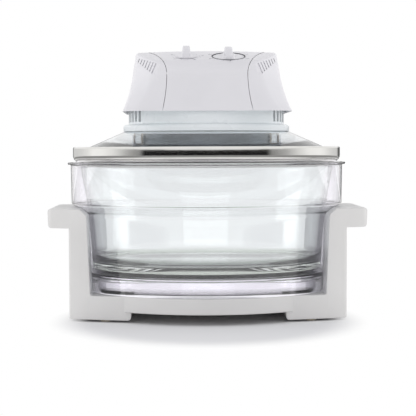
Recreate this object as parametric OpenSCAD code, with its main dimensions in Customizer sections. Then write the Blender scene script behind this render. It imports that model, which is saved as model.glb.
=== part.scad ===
// Countertop halogen oven.
// A glass bowl stands in a clear outer guard on a white base with two side grips.
// The conical glass lid carries the heater below it and the control head above it.
// Front is -Y, +X is to the right seen from the front, z = 0 is the worktop.

/* [Base] */
// Height of the rubber pads under the feet
pad_h = 2.5; // [2:0.5:3]
// Radius of a rubber pad
pad_r = 5.5; // [5:0.5:6]
// Radius of the round tray in the middle of the base
tray_r = 146; // [145.5:0.5:147]
// Height of the tray's lower edge between the feet
skirt_z = 12; // [10:1:14]
// Height of the tray's rim and of the tops of the feet
rim_z = 30; // [29.5:0.5:30.5]
// Half width across the uprights
upright_x = 160; // [159:0.5:161]
// Half width across the grips
grip_x = 187; // [183:1:190]
// Height of a grip
grip_h = 22; // [20:1:24]
// Height of the top of the uprights and grips
upright_top = 128.5; // [128:0.5:129]
// Radius of the arcs that shape the front and back faces in plan
face_r = 400; // [390:5:420]
// Distance from the centre to those arcs at x = 0
face_depth = 121.6; // [120:0.2:123]
// Wall thickness of the base moulding
base_wall = 3; // [2.5:0.5:3.5]

/* [Guard] */
// Thickness of the clear guard
guard_t = 2.5; // [2:0.5:2.5]
// Outer radius of the guard at its foot
guard_foot_r = 142.5; // [142:0.5:142.5]
// Outer radius of the guard's lower wall just under the step
guard_low_r = 145.8; // [145.5:0.1:146]
// Outer radius of the guard's upper wall just over the step
guard_up_r = 161.8; // [161:0.2:162]
// Outer radius of the flange round the guard's mouth
guard_flange_r = 166.2; // [165:0.2:167]
// Height of the shelf that the bowl stands on
shelf_z = 51.5; // [50:0.5:52]
// Outer radius of the shallow dish inside the guard's foot
dish_r = 131; // [129:0.5:131]

/* [Bowl] */
// Outer radius of the bowl near its base
bowl_base_r = 137.5; // [136:0.5:138]
// Wall thickness of the bowl
bowl_t = 5; // [4:0.5:5]
// Height of the bowl's inner floor
bowl_floor_z = 63; // [61:0.5:64]
// Height of the top of the bowl's rim
bowl_rim_z = 181.5; // [181:0.1:181.6]

/* [Lid] */
// Outer radius of the steel band
band_r = 160; // [159.5:0.5:161]
// Height of the top of the steel band
band_top = 200; // [199.8:0.1:200.2]
// Radius of the hole in the glass under the head
glass_hole_r = 88; // [87.5:0.5:88.5]
// Thickness of the glass, measured upright
glass_t = 4.9; // [4.5:0.1:5]
// Rise of the glass cone for each millimetre towards the centre
glass_rise = 0.434; // [0.43:0.002:0.436]

/* [Heater] */
// Outer radius of the heater can
can_r = 77; // [76:0.5:77]
// Height of the can's lower edge
can_z = 195.5; // [195:0.5:196]
// Radius of the ring that the lamp tube follows
lamp_ring_r = 52; // [50:0.5:54]
// Radius of the lamp tube
lamp_tube_r = 5; // [4:0.5:5]
// Number of blades on the convection fan
fan_blades = 8; // [6:1:10]

/* [Head] */
// Outer radius of the flange that sits on the glass
flange_r = 99.6; // [99:0.2:100]
// Outer radius of the vented collar
collar_r = 93; // [92:0.5:94]
// Height of the lower edge of the white cover
cover_z = 240.6; // [240:0.2:243]
// Height of the crest of the cover
crest_z = 314.5; // [313:0.5:316]
// Half width of the cover at its narrowest
cover_r = 86.8; // [86:0.1:87.5]
// Slope of the control panel in degrees
panel_slope = 15.5; // [14:0.5:16]
// Wall thickness of the cover
cover_t = 2.5; // [2:0.25:3]
// Gap between the saddle and the side pods
seam = 0.3; // [0.2:0.1:0.4]
// Number of vent slots on each side of the collar
vent_count = 12; // [8:1:12]
// Number of louvres at the front of each pod
louvre_count = 7; // [5:1:7]

/* [Controls] */
// Place of the timer dial to the left of the centre
timer_x = -24; // [-25:0.5:-23]
// Place of the temperature dial to the right of the centre
temp_x = 25.5; // [25:0.5:26]
// Distance of the dials in front of the centre
dial_y = 44; // [42:0.5:45]
// Radius of the temperature dial
temp_dial_r = 18.5; // [18:0.5:19]
// Radius of the timer dial
timer_dial_r = 13; // [12:0.5:14]
// Height of the timer dial's finger blade above the panel
timer_blade_h = 12.2; // [12:0.2:13]
// Height of the temperature dial's finger blade above the panel
temp_blade_h = 11; // [10.6:0.2:12]
// Width of a dial's finger blade
blade_w = 9; // [8.6:0.2:9.4]

/* [Carry handle] */
// Half width across the folding handle
handle_x = 66; // [65:0.5:66]
// Thickness of the folding handle
handle_h = 8; // [7:0.5:8]

/* [Hidden] */
$fn = 144;
eps = 0.01;
white = "#e4e3e8";
cool_white = "#dfe5e8";
steel = "#b9b8b4";
bright = "#d4d4d2";
dark = "#33363b";
clear = "#cfd6dc";
glass = "#b8c6c2";
foot_z = pad_h;
face_c = face_r - face_depth;
upright_in_top = 139;
upright_in_foot = 135;
foot_in_x = 87.2;
foot_draft = 2.3;
deck_z = rim_z - 1.2;
guard_step_z = 121.5;
guard_up_z = 132;
guard_top_z = 181.5;
guard_gap = 1.1;
pad_x = 118;
pad_y = 88;
plate_t = 2;
foot_screw_r = 1.75;
bowl_bend_z = 61;
can_top = 216.4;
clamp_z = 214.9;
head_floor_z = 223.5;
collar_foot_z = 226;
collar_top_z = 246;
boss_r = 82;
cover_boss_r = 84;
cover_boss_z = 239;
gland_turn = -20;
crest_front_y = 12;
crest_back_y = 4;
deck_top_z = 302;
flare_r = 170;
flare_z = 301;
front_flare = [194.1, 332.6, 130];
corner_flare = [196.1, 330, 112];
shoulder_z = 243.6;
waist_z = 284;
waist_x = 47;
pod_edge_x = 69;
pivot_y = 14;
pivot_z = deck_top_z + 1 + handle_h / 2;
pin_r = 2;
run_gap = 0.05;
shaft_r = 3;
plunger_pos = [61, 30];
dial_z = crest_z - (dial_y - crest_front_y) * tan(panel_slope);

// Shared shapes

function glass_top(r) = 200.5 + (138.5 - r) * glass_rise;
function glass_under(r) = glass_top(r) - glass_t;
function bowl_outer(z) = bowl_base_r + 0.03 * (z - bowl_bend_z) + 0.0008 * pow(z - bowl_bend_z, 2);
function arc(c, r, a0, a1, steps) =
    [for (i = [0:steps]) c + r * [cos(a0 + (a1 - a0) * i / steps), sin(a0 + (a1 - a0) * i / steps)]];

module tube(r_out, r_in, z0, z1) {
    translate([0, 0, z0])
        difference() {
            cylinder(r = r_out, h = z1 - z0);
            translate([0, 0, -1]) cylinder(r = r_in, h = z1 - z0 + 2);
        }
}

module rod(r, z0, z1) {
    translate([0, 0, z0]) cylinder(r = r, h = z1 - z0);
}

module box(low, high) {
    translate(low) cube(high - low);
}

module around(count, r, start = 0) {
    for (i = [0:count - 1]) rotate([0, 0, start + i * 360 / count]) translate([r, 0, 0]) children();
}

module both_sides() {
    children();
    mirror([1, 0, 0]) children();
}

// A pan head screw with its head at z = 0 and its shank along +Z
module screw(r, length, head_r, head_h) {
    difference() {
        union() {
            cylinder(r = r, h = length, $fn = 24);
            translate([0, 0, -head_h]) cylinder(r = head_r, h = head_h, $fn = 32);
        }
        for (a = [0, 90]) rotate([0, 0, a])
            translate([-head_r * 0.6, -0.4, -head_h - 1]) cube([head_r * 1.2, 0.8, 2]);
    }
}

// Base

// Plan between the two large arcs, cut at x_end with round corners of radius r
module side_plan(x_end, r, inset) {
    x_c = x_end - r;
    y_c = sqrt(pow(face_r - r, 2) - x_c * x_c) - face_c;
    turn = atan2(y_c + face_c, x_c);
    reach = 3 * r;
    difference() {
        intersection() {
            translate([0, face_c]) circle(r = face_r - inset, $fn = 360);
            translate([0, -face_c]) circle(r = face_r - inset, $fn = 360);
            translate([0, -face_depth]) square([x_end - inset, 2 * face_depth]);
        }
        for (side = [0, 1]) mirror([0, side])
            translate([x_c, y_c]) difference() {
                polygon(reach * [[0, 0], [1, 0], [1, tan(turn / 2)], [cos(turn), sin(turn)]]);
                circle(r = r - inset, $fn = 64);
            }
    }
}

// The space that the guard needs, widened by gap
module guard_space(low_z, gap) {
    rotate_extrude()
        polygon([
            [0, low_z], [guard_foot_r + 0.4 + gap, low_z], [guard_foot_r + guard_gap + gap, rim_z + 1],
            [guard_low_r + guard_gap + gap, guard_step_z - 0.5],
            [guard_low_r + guard_gap + gap + 18.3, guard_step_z + 11.6], [0, guard_step_z + 11.6]
        ]);
}

module front_prism(points, depth = 130) {
    rotate([90, 0, 0]) translate([0, 0, -depth]) linear_extrude(2 * depth) polygon(points);
}

// One foot and upright, and the same shape inset for its hollow
module upright_block(inset) {
    low = foot_z - (inset > 0 ? 1 : 0);
    intersection() {
        linear_extrude(upright_top + 1) side_plan(upright_x, 5, inset);
        front_prism([
            [foot_in_x + foot_draft + inset, low], [upright_x + 1, low], [upright_x + 1, upright_top - inset],
            [upright_in_top + 8 + inset * 0.4, upright_top - inset],
            [upright_in_top + inset, upright_top - 7 - inset * 0.4],
            [upright_in_foot + inset, rim_z - inset], [foot_in_x + inset, rim_z - inset]
        ]);
    }
}

module grip_block(inset) {
    x0 = upright_x - base_wall + (inset > 0 ? base_wall : 0);
    intersection() {
        linear_extrude(upright_top + 1) side_plan(grip_x, 12, inset);
        front_prism([
            [x0, upright_top - grip_h - (inset > 0 ? 1 : 0)],
            [grip_x + 1, upright_top - grip_h - (inset > 0 ? 1 : 0)],
            [grip_x + 1, upright_top - inset], [x0, upright_top - inset]
        ]);
    }
}

module base_moulding() {
    color(white) difference() {
        union() {
            rod(tray_r, skirt_z, rim_z);
            both_sides() {
                upright_block(0);
                grip_block(0);
            }
        }
        guard_space(deck_z, 0);
        rod(tray_r - base_wall, skirt_z - 1, deck_z - base_wall);
        both_sides() {
            difference() {
                upright_block(base_wall);
                guard_space(deck_z - base_wall, base_wall);
            }
            grip_block(base_wall);
        }
    }
    color(white) both_sides() foot_screw_places() tube(4, foot_screw_r, foot_z + plate_t, deck_z - 2);
}

module pad_places() {
    for (side = [-1, 1]) translate([pad_x, side * pad_y, 0]) children();
}

// Closes a foot from below and carries two pads and three screws
module foot_plate() {
    difference() {
        intersection() {
            linear_extrude(foot_z + 6) side_plan(upright_x, 5, base_wall + 0.2);
            box([foot_in_x + foot_draft + base_wall + 0.2, -face_depth, foot_z],
                [upright_x, face_depth, foot_z + plate_t]);
        }
        foot_screw_places() {
            rod(foot_screw_r, 0, foot_z + 5);
            rod(3.4, 0, foot_z + 1.2);
        }
        pad_places() rod(2.5, 0, foot_z + 5);
    }
}

module foot_screw_places() {
    for (y = [-60, 0, 60]) translate([foot_in_x + 42, y, 0]) children();
}

module left_foot_plate() {
    color(white) mirror([1, 0, 0]) foot_plate();
}

module right_foot_plate() {
    color(white) foot_plate();
}

module rubber_feet() {
    color("#d8cfb8") both_sides() pad_places() {
        rod(pad_r, 0, foot_z);
        rod(2.5, foot_z - eps, foot_z + plate_t);
        rod(3.2, foot_z + plate_t, foot_z + 2 * plate_t);
    }
}

module foot_plate_screws() {
    color(steel) both_sides() foot_screw_places()
        translate([0, 0, foot_z + 1.2]) screw(foot_screw_r, 12, 3.2, 1.2);
}

module outer_guard() {
    color(clear, 0.35) rotate_extrude() polygon(concat(
        [
            [guard_flange_r, guard_top_z], [guard_flange_r, guard_top_z - guard_t],
            [guard_up_r + 0.9, guard_top_z - guard_t], [guard_up_r, guard_up_z],
            [guard_low_r, guard_step_z], [guard_foot_r, deck_z], [guard_foot_r - guard_t, deck_z],
            [guard_foot_r - guard_t + 0.7, shelf_z - guard_t], [dish_r, shelf_z - guard_t]
        ],
        arc([dish_r - 8, deck_z + 12], 8, 0, -90, 6),
        [[0, deck_z + 4], [0, deck_z + 4 + guard_t]],
        arc([dish_r - 8, deck_z + 12], 8 - guard_t, -90, 0, 6),
        [
            [dish_r - guard_t, shelf_z], [guard_foot_r - guard_t + 0.8, shelf_z],
            [guard_low_r - guard_t, guard_step_z + 1], [guard_up_r - guard_t, guard_up_z + 1],
            [guard_up_r - guard_t + 0.9, guard_top_z]
        ]
    ));
}

// Bowl

module glass_bowl() {
    wall = [for (z = [76:12:172]) z];
    color(glass, 0.35) rotate_extrude() polygon(concat(
        [[0, shelf_z + 2.5], [125, shelf_z + 2.5], [127, shelf_z], [132, shelf_z]],
        arc([bowl_base_r - 9, shelf_z + 9.5], 9, -67, 0, 5),
        [for (z = wall) [bowl_outer(z), z]],
        [
            [bowl_outer(176), 176], [154.5, 178], [154.5, bowl_rim_z - 1.5], [153, bowl_rim_z],
            [149, bowl_rim_z], [bowl_outer(178) - bowl_t, 178.5]
        ],
        [for (i = [len(wall) - 1:-1:1]) [bowl_outer(wall[i]) - bowl_t, wall[i]]],
        arc([bowl_outer(80) - bowl_t - 16, bowl_floor_z + 16], 16, 0, -90, 8),
        [[0, bowl_floor_z]]
    ));
}

// Lid

module lid_glass() {
    color(glass, 0.35) rotate_extrude() polygon([
        [glass_hole_r, glass_top(glass_hole_r)], [156, glass_top(156)],
        [156, glass_under(156)], [glass_hole_r, glass_under(glass_hole_r)]
    ]);
}

// Rolled steel band: a lip over the glass, a bright wall and a curl under the seal
module lid_band() {
    skin = 0.9;
    bend = 9.5;
    bend_c = [band_r - bend, bowl_rim_z + 8.7];
    color(bright) rotate_extrude() polygon(concat(
        [[148, glass_top(148) + 0.1], [148, glass_top(148) + 1.1], [155.5, band_top]],
        arc([band_r - 2.5, band_top - 2.5], 2.5, 90, 0, 4),
        arc(bend_c, bend, 0, -62, 6),
        [[152, bowl_rim_z + 0.3], [147.5, bowl_rim_z + 0.3], [147.5, bowl_rim_z + 0.3 + skin],
            [152, bowl_rim_z + 0.3 + skin]],
        arc(bend_c, bend - skin, -62, 0, 6),
        arc([band_r - 2.5, band_top - 2.5], 2.5 - skin, 0, 90, 4),
        [[155.5, band_top - skin - 0.6]]
    ));
}

// Silicone seal under the edge of the glass, with a lip that centres the lid in the bowl
module lid_seal() {
    color("#c9c8c4") rotate_extrude() polygon([
        [143, 179], [145.2, 178], [147.3, 182], [147.3, bowl_rim_z + 1.4], [154, bowl_rim_z + 1.6],
        [158.4, 189.5], [158.4, 192.4], [156.1, 192.7], [156.1, glass_under(156.1) - 0.1],
        [143, glass_under(143) - 0.1]
    ]);
}

module glass_gasket() {
    color("#d8d8d4") rotate_extrude() polygon([
        [89, glass_under(89)], [95, glass_under(95)], [95, glass_under(95) - 1], [89, glass_under(89) - 1]
    ]);
}

module clamp_ring() {
    bend_r = 87.15;
    color(steel) difference() {
        rotate_extrude() polygon([
            [78.2, can_top], [bend_r, can_top], [95.5, can_top - (95.5 - bend_r) * glass_rise],
            [95.5, clamp_z - (95.5 - bend_r) * glass_rise], [bend_r - 0.3, clamp_z], [78.2, clamp_z]
        ]);
        around(4, boss_r, 45) rod(2.2, 200, 230);
    }
}

module clamp_screws() {
    color(steel) around(4, boss_r, 45) translate([0, 0, clamp_z]) screw(1.9, 11, 3.6, 2.2);
}

// Heater

module lamp_end_holes(r) {
    for (side = [-1, 1]) rotate([0, 0, 90 + side * 14]) translate([lamp_ring_r, 0, 200]) cylinder(r = r, h = 40);
}

module heater_can() {
    chamfer = 6;
    color(dark) difference() {
        rotate_extrude() polygon([
            [8, can_top], [can_r, can_top], [can_r, can_z + chamfer], [can_r - chamfer, can_z],
            [68, can_z], [68, can_z + 1], [can_r - chamfer - 0.4, can_z + 1],
            [can_r - 1, can_z + chamfer + 0.4], [can_r - 1, can_top - 1], [8, can_top - 1]
        ]);
        lamp_end_holes(7);
        probe_place() rod(2.4, 190, 230);
    }
}

// Two folded brackets that hang the can from the clamp ring
module can_brackets() {
    color("#8d7b66") both_sides() {
        difference() {
            box([can_r - 2, -9, 200], [can_r + 10, 9, 212.6]);
            rod(can_r, 190, 220);
            box([can_r + 1.2, -10, 201.2], [can_r + 8.8, 10, 211.4]);
        }
        box([can_r + 1.2, -5, 212.6], [can_r + 6, 5, clamp_z]);
    }
}

module reflector() {
    color("#e6e4de") difference() {
        rotate_extrude() polygon([
            [9, 211.8], [60, 211.8], [75.9, 206.5], [75.9, 207.6], [60.2, 212.8], [9, 212.8]
        ]);
        lamp_end_holes(7.2);
        probe_place() rod(2.4, 190, 230);
    }
}

module insulation_disc() {
    color("#e9e6da") difference() {
        tube(68, 9, can_top, head_floor_z);
        lamp_end_holes(7);
        probe_place() rod(2.4, 190, 230);
        translate([-40, -20, can_top - 1]) cylinder(r = 9, h = 20);
    }
}

// Rings and spokes under the lamp
module lamp_guard() {
    z0 = can_z + 1;
    color(steel) {
        for (r = [8:10:68]) tube(r + 1, r - 1, z0, z0 + 1);
        for (a = [0:60:359]) rotate([0, 0, a]) box([8, -1, z0], [70, 1, z0 + 1]);
        tube(70.2, 67, z0, z0 + 1);
    }
}

module lamp_arc(r_out, r_in, from, to) {
    rotate([0, 0, from]) rotate_extrude(angle = to - from)
        translate([lamp_ring_r, 0]) difference() {
            circle(r = r_out, $fn = 40);
            if (r_in > 0) circle(r = r_in, $fn = 40);
        }
}

module halogen_lamp() {
    color("#dfe3e4", 0.5) translate([0, 0, 204.5]) lamp_arc(lamp_tube_r, lamp_tube_r - 1, 112, 428);
}

module lamp_filament() {
    color("#c9a36a") translate([0, 0, 204.5]) lamp_arc(1.4, 0, 110, 430);
}

// Ceramic ends that carry the lamp and lead its pins up through the can
module lamp_holders() {
    color("#e7e2d6") for (side = [-1, 1]) rotate([0, 0, 90 + side * 14]) translate([lamp_ring_r, 0, 0]) {
        difference() {
            rod(6.8, 198.5, 210.5);
            translate([0, 0, 204.5]) rotate([90, 0, 0])
                cylinder(r = lamp_tube_r + 0.1, h = 20, center = true, $fn = 40);
        }
        rod(6.5, 210.5, 222);
    }
}

module probe_place() {
    rotate([0, 0, 215]) translate([62, 0, 0]) children();
}

module sensor_probe() {
    color("#b87333") probe_place() {
        rod(2, 199.5, 228);
        rod(4, 223.5 + 2.5, 229.5);
    }
}

module thermal_fuse() {
    color("#cfcfcf") translate([-40, -20, can_top]) {
        cylinder(r = 8, h = 4);
        translate([0, 0, 4]) cylinder(r = 5, h = 2.5);
    }
}

// Fixed parts of the head

module vent_slots() {
    for (side = [0, 1]) mirror([side, 0, 0])
        for (i = [0:vent_count - 1]) rotate([0, 0, -32 + i * 5.8])
            box([collar_r - 6, -2.4, collar_foot_z + 3], [collar_r + 2, 2.4, shoulder_z - 0.2]);
}

// Flange, floor, vented collar and bosses in one moulding
module head_base() {
    color(cool_white) difference() {
        union() {
            rotate_extrude() polygon(concat(
                [[12, head_floor_z], [glass_hole_r - 1.5, head_floor_z],
                    [glass_hole_r - 1.5, glass_top(glass_hole_r) + 0.2],
                    [glass_hole_r, glass_top(glass_hole_r) + 0.2], [flange_r - 1, glass_top(flange_r - 1) + 0.2],
                    [flange_r, glass_top(flange_r) + 1]],
                arc([flange_r - 3.2, collar_foot_z - 3], 3.2, 0, 70, 4),
                [
                    [collar_r, collar_foot_z + 0.5], [collar_r, collar_top_z], [collar_r - 2.5, collar_top_z],
                    [collar_r - 2.5, collar_foot_z], [12, collar_foot_z]
                ]
            ));
            around(4, boss_r, 45) rod(4, can_top, head_floor_z + 1);
            around(4, cover_boss_r) rod(4.4, collar_foot_z - 1, cover_boss_z);
            shoulder();
        }
        vent_slots();
        around(4, boss_r, 45) rod(1.9, can_top - 1, clamp_z + 11);
        around(4, cover_boss_r) rod(1.7, head_floor_z - 1, cover_boss_z + 1);
        around(4, cover_boss_r) rod(3.4, head_floor_z - 4, head_floor_z + 1.5);
        probe_place() rod(2.1, 220, 230);
        for (side = [-1, 1]) translate([side * 72, 0, 0]) rod(1.6, 220, 230);
        gland_place() cylinder(r = 6, h = 10);
    }
}

// Through the back of the collar, z pointing outward
module gland_place() {
    rotate([0, 0, gland_turn]) translate([0, collar_r - 5, 235]) rotate([-90, 0, 0]) children();
}

// Outer shape of the white cover, inset by t for its hollow
module head_block(t) {
    tall = crest_z - cover_z + 2;
    intersection() {
        rotate_extrude() difference() {
            translate([0, cover_z - (t > 0 ? 1 : 0)]) square([135, tall]);
            translate([corner_flare[0], corner_flare[1]]) circle(r = corner_flare[2] + t, $fn = 360);
        }
        rotate([90, 0, 90]) translate([0, 0, -110]) linear_extrude(220) difference() {
            polygon([
                [-102, cover_z - 2], [-102, crest_z - (102 - crest_front_y) * tan(panel_slope) - t],
                [-crest_front_y, crest_z - t], [crest_back_y - t, crest_z - t],
                [crest_back_y - t, deck_top_z - t], [102, deck_top_z - t], [102, cover_z - 2]
            ]);
            for (side = [0, 1]) mirror([side, 0])
                translate([front_flare[0], front_flare[1]]) circle(r = front_flare[2] + t, $fn = 360);
        }
        rotate([90, 0, 0]) translate([0, 0, -110]) linear_extrude(220) difference() {
            intersection() {
                translate([0, crest_z - 1020 - t]) circle(r = 1020, $fn = 360);
                translate([-106, cover_z - 2]) square([212, 90]);
            }
            for (side = [0, 1]) mirror([side, 0])
                translate([cover_r + flare_r, flare_z]) circle(r = flare_r + t, $fn = 360);
        }
    }
}

// Flat shoulder of the head base that closes the cover from below, outside the collar
module shoulder() {
    intersection() {
        head_block(cover_t + 0.3);
        tube(130, collar_r - 1, shoulder_z, shoulder_z + 1.8);
    }
}

// Front outline of the right pod: a slow curve below the waist, a tight one above it
module pod_outline(grow) {
    low_r = 187 + grow;
    top_r = 28 + grow;
    intersection() {
        translate([waist_x + 187, waist_z]) circle(r = low_r, $fn = 360);
        translate([0, cover_z - 5]) square([120, waist_z - cover_z + 5]);
    }
    intersection() {
        translate([waist_x + 28, waist_z]) circle(r = top_r, $fn = 120);
        translate([0, waist_z - eps]) square([120, 60]);
    }
    translate([waist_x + 28, waist_z - eps]) square([60, 60]);
    translate([pod_edge_x - grow, waist_z + 20]) square([60, 40]);
}

module pod_region(grow) {
    difference() {
        rotate([90, 0, 0]) translate([0, 0, -120]) linear_extrude(240) pod_outline(grow);
        box([0, crest_back_y - cover_t + grow, deck_top_z - cover_t + grow], [pod_edge_x - grow, 120, 330]);
    }
}

module cover_shell() {
    difference() {
        head_block(0);
        head_block(cover_t);
    }
}

module louvres() {
    lean = 23;
    for (i = [0:louvre_count - 1])
        translate([59 + 3.3 * i, -100, 296.5 + 1.17 * i]) rotate([0, -lean, 0])
            translate([-0.6, 0, -13 + 1.35 * i]) cube([1.2, 82, 13 - 1.35 * i]);
}

module pod() {
    difference() {
        intersection() {
            cover_shell();
            pod_region(0);
        }
        louvres();
    }
    cover_boss(270);
}

// Screw boss inside the cover, over the head's own boss
module cover_boss(top) {
    translate([cover_boss_r, 0, 0]) difference() {
        rod(4.2, cover_boss_z, top);
        rod(1.5, cover_boss_z - 1, cover_boss_z + 11);
    }
}

module left_pod() {
    color(white) mirror([1, 0, 0]) pod();
}

module right_pod() {
    color(white) pod();
}

module on_panel(x) {
    translate([x, -dial_y, dial_z]) rotate([panel_slope, 0, 0]) children();
}

module saddle_cover() {
    lug = [46, 55.6];
    color(white) difference() {
        union() {
            difference() {
                cover_shell();
                both_sides() pod_region(seam);
            }
            both_sides() box([lug[0], pivot_y - 6, deck_top_z - 1], [lug[1], pivot_y + 6, pivot_z + 4]);
            for (side = [-1, 1]) rotate([0, 0, side * 90]) cover_boss(256);
            for (x = [-9, 5]) box([plunger_pos[0] + x, plunger_pos[1] - 3, 295.5],
                [plunger_pos[0] + x + 3, plunger_pos[1] + 3, deck_top_z - 1]);
        }
        for (x = [timer_x, temp_x]) on_panel(x) cylinder(r = 5.2, h = 20, center = true);
        on_panel(temp_x) translate([0, 0, -0.8]) cylinder(r = temp_dial_r + 1.2, h = 10);
        both_sides() translate([lug[0] + 2, pivot_y, pivot_z]) rotate([0, 90, 0])
            cylinder(r = pin_r, h = 20, $fn = 32);
        translate([plunger_pos[0], plunger_pos[1], deck_top_z - 5]) cylinder(r = 2 + run_gap, h = 10, $fn = 32);
    }
}

module cover_screws() {
    color(steel) around(4, cover_boss_r) translate([0, 0, head_floor_z + 1.5]) screw(1.5, 22, 3.2, 1.6);
}

module cord_gland() {
    color("#e2e2e2") gland_place() difference() {
        union() {
            cylinder(r = 5.9, h = 6);
            translate([0, 0, 5.3]) cylinder(r = 8, h = 2);
            cylinder(r = 8, h = 2);
        }
        translate([0, 0, -1]) cylinder(r = 3.6, h = 12, $fn = 48);
    }
}

module terminal_block() {
    color("#d9d4c8") difference() {
        box([-15, 66, collar_foot_z], [15, 78, collar_foot_z + 12]);
        for (x = [-10, 0, 10]) {
            translate([x, 72, collar_foot_z + 6]) rotate([90, 0, 0])
                cylinder(r = 1.8, h = 20, center = true, $fn = 24);
            translate([x, 72, collar_foot_z + 7]) cylinder(r = 1.5, h = 6, $fn = 24);
        }
    }
}

// Box under the panel with a threaded neck that the shaft turns in
module control_unit(side_len, depth) {
    wall = cover_t + 0.6;
    difference() {
        union() {
            box([-side_len / 2, -side_len / 2, -wall - depth], [side_len / 2, side_len / 2, -wall]);
            rod(5, -wall - 1, -1);
        }
        rod(shaft_r + run_gap, -wall - depth + 4, 5);
    }
}

module timer_unit() {
    color("#c8b27a") on_panel(timer_x) control_unit(36, 24);
}

module thermostat_unit() {
    color("#b5b5b5") on_panel(temp_x) control_unit(32, 20);
}

module micro_switch() {
    color("#8b1e1e") difference() {
        box([plunger_pos[0] - 10, plunger_pos[1] - 3.2, 285.5], [plunger_pos[0] + 10, plunger_pos[1] + 3.2, 295.5]);
        for (dx = [-5, 5]) translate([plunger_pos[0] + dx, plunger_pos[1], 288.5]) rotate([90, 0, 0])
            cylinder(r = 1.3, h = 10, center = true, $fn = 24);
    }
}

module handle_pins() {
    color(steel) both_sides() translate([48, pivot_y, pivot_z]) rotate([0, 90, 0])
        cylinder(r = pin_r, h = handle_x - 50, $fn = 32);
}

module motor_stator() {
    color("#7d8086") difference() {
        box([-30, -26, 247], [30, 44, 267]);
        rod(16.4, 240, 270);
        box([-18, 22, 240], [18, 34, 270]);
        for (x = [-24, 24]) translate([x, -20, 0]) rod(2.1, 240, 270);
    }
}

module motor_coil() {
    color("#b5662f") difference() {
        box([-17.5, 22.5, 242], [17.5, 51, 272]);
        box([-30, 34, 247], [30, 44, 267]);
    }
}

module bracket_strap(z0, length) {
    box([-length / 2, -9, z0], [length / 2, 9, z0 + 2]);
    box([-27, -24, z0], [-21, -8, z0 + 2]);
    box([21, -24, z0], [27, -8, z0 + 2]);
}

module lower_motor_bracket() {
    color(steel) difference() {
        union() {
            bracket_strap(243, 156);
            for (x = [-72, 72]) translate([x, 0, 0]) rod(4, collar_foot_z, 243.5);
            for (x = [-24, 24]) translate([x, -20, 0]) rod(3.5, 244, 247);
            rod(7, 241, 246.5);
        }
        rod(shaft_r + run_gap, 240, 250);
        for (x = [-24, 24]) translate([x, -20, 0]) rod(2.1, 240, 250);
        for (x = [-72, 72]) translate([x, 0, 0]) rod(1.6, 220, 236);
    }
}

module upper_motor_bracket() {
    color(steel) difference() {
        union() {
            bracket_strap(269, 44);
            for (x = [-24, 24]) translate([x, -20, 0]) rod(3.5, 267, 270);
            rod(7, 268, 274);
        }
        rod(shaft_r + run_gap, 260, 280);
        for (x = [-24, 24]) translate([x, -20, 0]) rod(2.1, 260, 280);
    }
}

module bracket_screws() {
    color(bright) {
        for (x = [-24, 24]) translate([x, -20, 271]) rotate([180, 0, 0]) screw(2, 29, 3.6, 2.2);
        for (x = [-72, 72]) translate([x, 0, head_floor_z]) screw(1.5, 12, 3.2, 1.6);
    }
}

// Controls that turn

// Dial: a flat disc with a finger blade across it, r its radius, low its underside and blade_h the blade's height
module dial(r, low, blade_h) {
    difference() {
        union() {
            rod(r, low, low + 0.9);
            intersection() {
                box([-blade_w / 2, -r + 1, low + 0.4], [blade_w / 2, r - 1, blade_h]);
                rod(r - 0.6, -1, 40);
                rotate([90, 0, 90]) translate([0, blade_h - 30, -20]) cylinder(r = 30, h = 40);
            }
        }
        rod(shaft_r, -1, 9);
    }
}

module timer_knob() {
    color(white) on_panel(timer_x) dial(timer_dial_r, 0.3, timer_blade_h);
}

module temperature_knob() {
    color(white) on_panel(temp_x) dial(temp_dial_r, -0.5, temp_blade_h);
}

module timer_shaft() {
    color(steel) on_panel(timer_x) rod(shaft_r, -22, 9);
}

module thermostat_shaft() {
    color(steel) on_panel(temp_x) rod(shaft_r, -18, 9);
}

// Carry handle that folds back on to the head's rear deck

module carry_handle() {
    low = deck_top_z + 1;
    inner = handle_x - 10;
    color(white) difference() {
        union() {
            translate([0, 0, low]) linear_extrude(handle_h) difference() {
                polygon([
                    [handle_x, pivot_y], [handle_x, 36], [46, 60], [-46, 60], [-handle_x, 36], [-handle_x, pivot_y]
                ]);
                polygon([[inner, pivot_y - 1], [inner, 32], [41, 50], [-41, 50], [-inner, 32], [-inner, pivot_y - 1]]);
            }
            both_sides() translate([inner, pivot_y, pivot_z]) rotate([0, 90, 0])
                cylinder(r = handle_h / 2, h = handle_x - inner, $fn = 64);
        }
        both_sides() translate([inner - 1, pivot_y, pivot_z]) rotate([0, 90, 0])
            cylinder(r = pin_r + run_gap, h = handle_x - inner, $fn = 32);
    }
}

module switch_plunger() {
    color("#b03030") translate([plunger_pos[0], plunger_pos[1], 0]) {
        rod(2, 295.7, deck_top_z + 0.8);
        rod(3, 295.7, 297);
    }
}

// Fan drive that turns

module motor_rotor() {
    color("#6f7278") tube(16, shaft_r, 247.5, 266.5);
}

module motor_shaft() {
    color(bright) rod(shaft_r, 198.2, 276);
}

module cooling_fan() {
    color("#c9c9c9") {
        tube(62, shaft_r, 230, 231);
        tube(8, shaft_r, 230.5, 239);
        for (a = [0:36:359]) rotate([0, 0, a]) translate([36, 0, 230.5]) rotate([0, 0, 22])
            box([-21, -0.6, 0], [21, 0.6, 8]);
    }
}

module convection_fan() {
    color(steel) {
        tube(40, shaft_r, 209, 210);
        tube(7, shaft_r, 201.2, 209.5);
        around(fan_blades, 25) translate([0, 0, 202]) rotate([0, 0, 18]) box([-14, -0.5, 0], [14, 0.5, 7.5]);
    }
}

module fan_nut() {
    color(bright) difference() {
        translate([0, 0, 198.2]) cylinder(r = 5.5, h = 3, $fn = 6);
        rod(shaft_r, 190, 210);
    }
}

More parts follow.
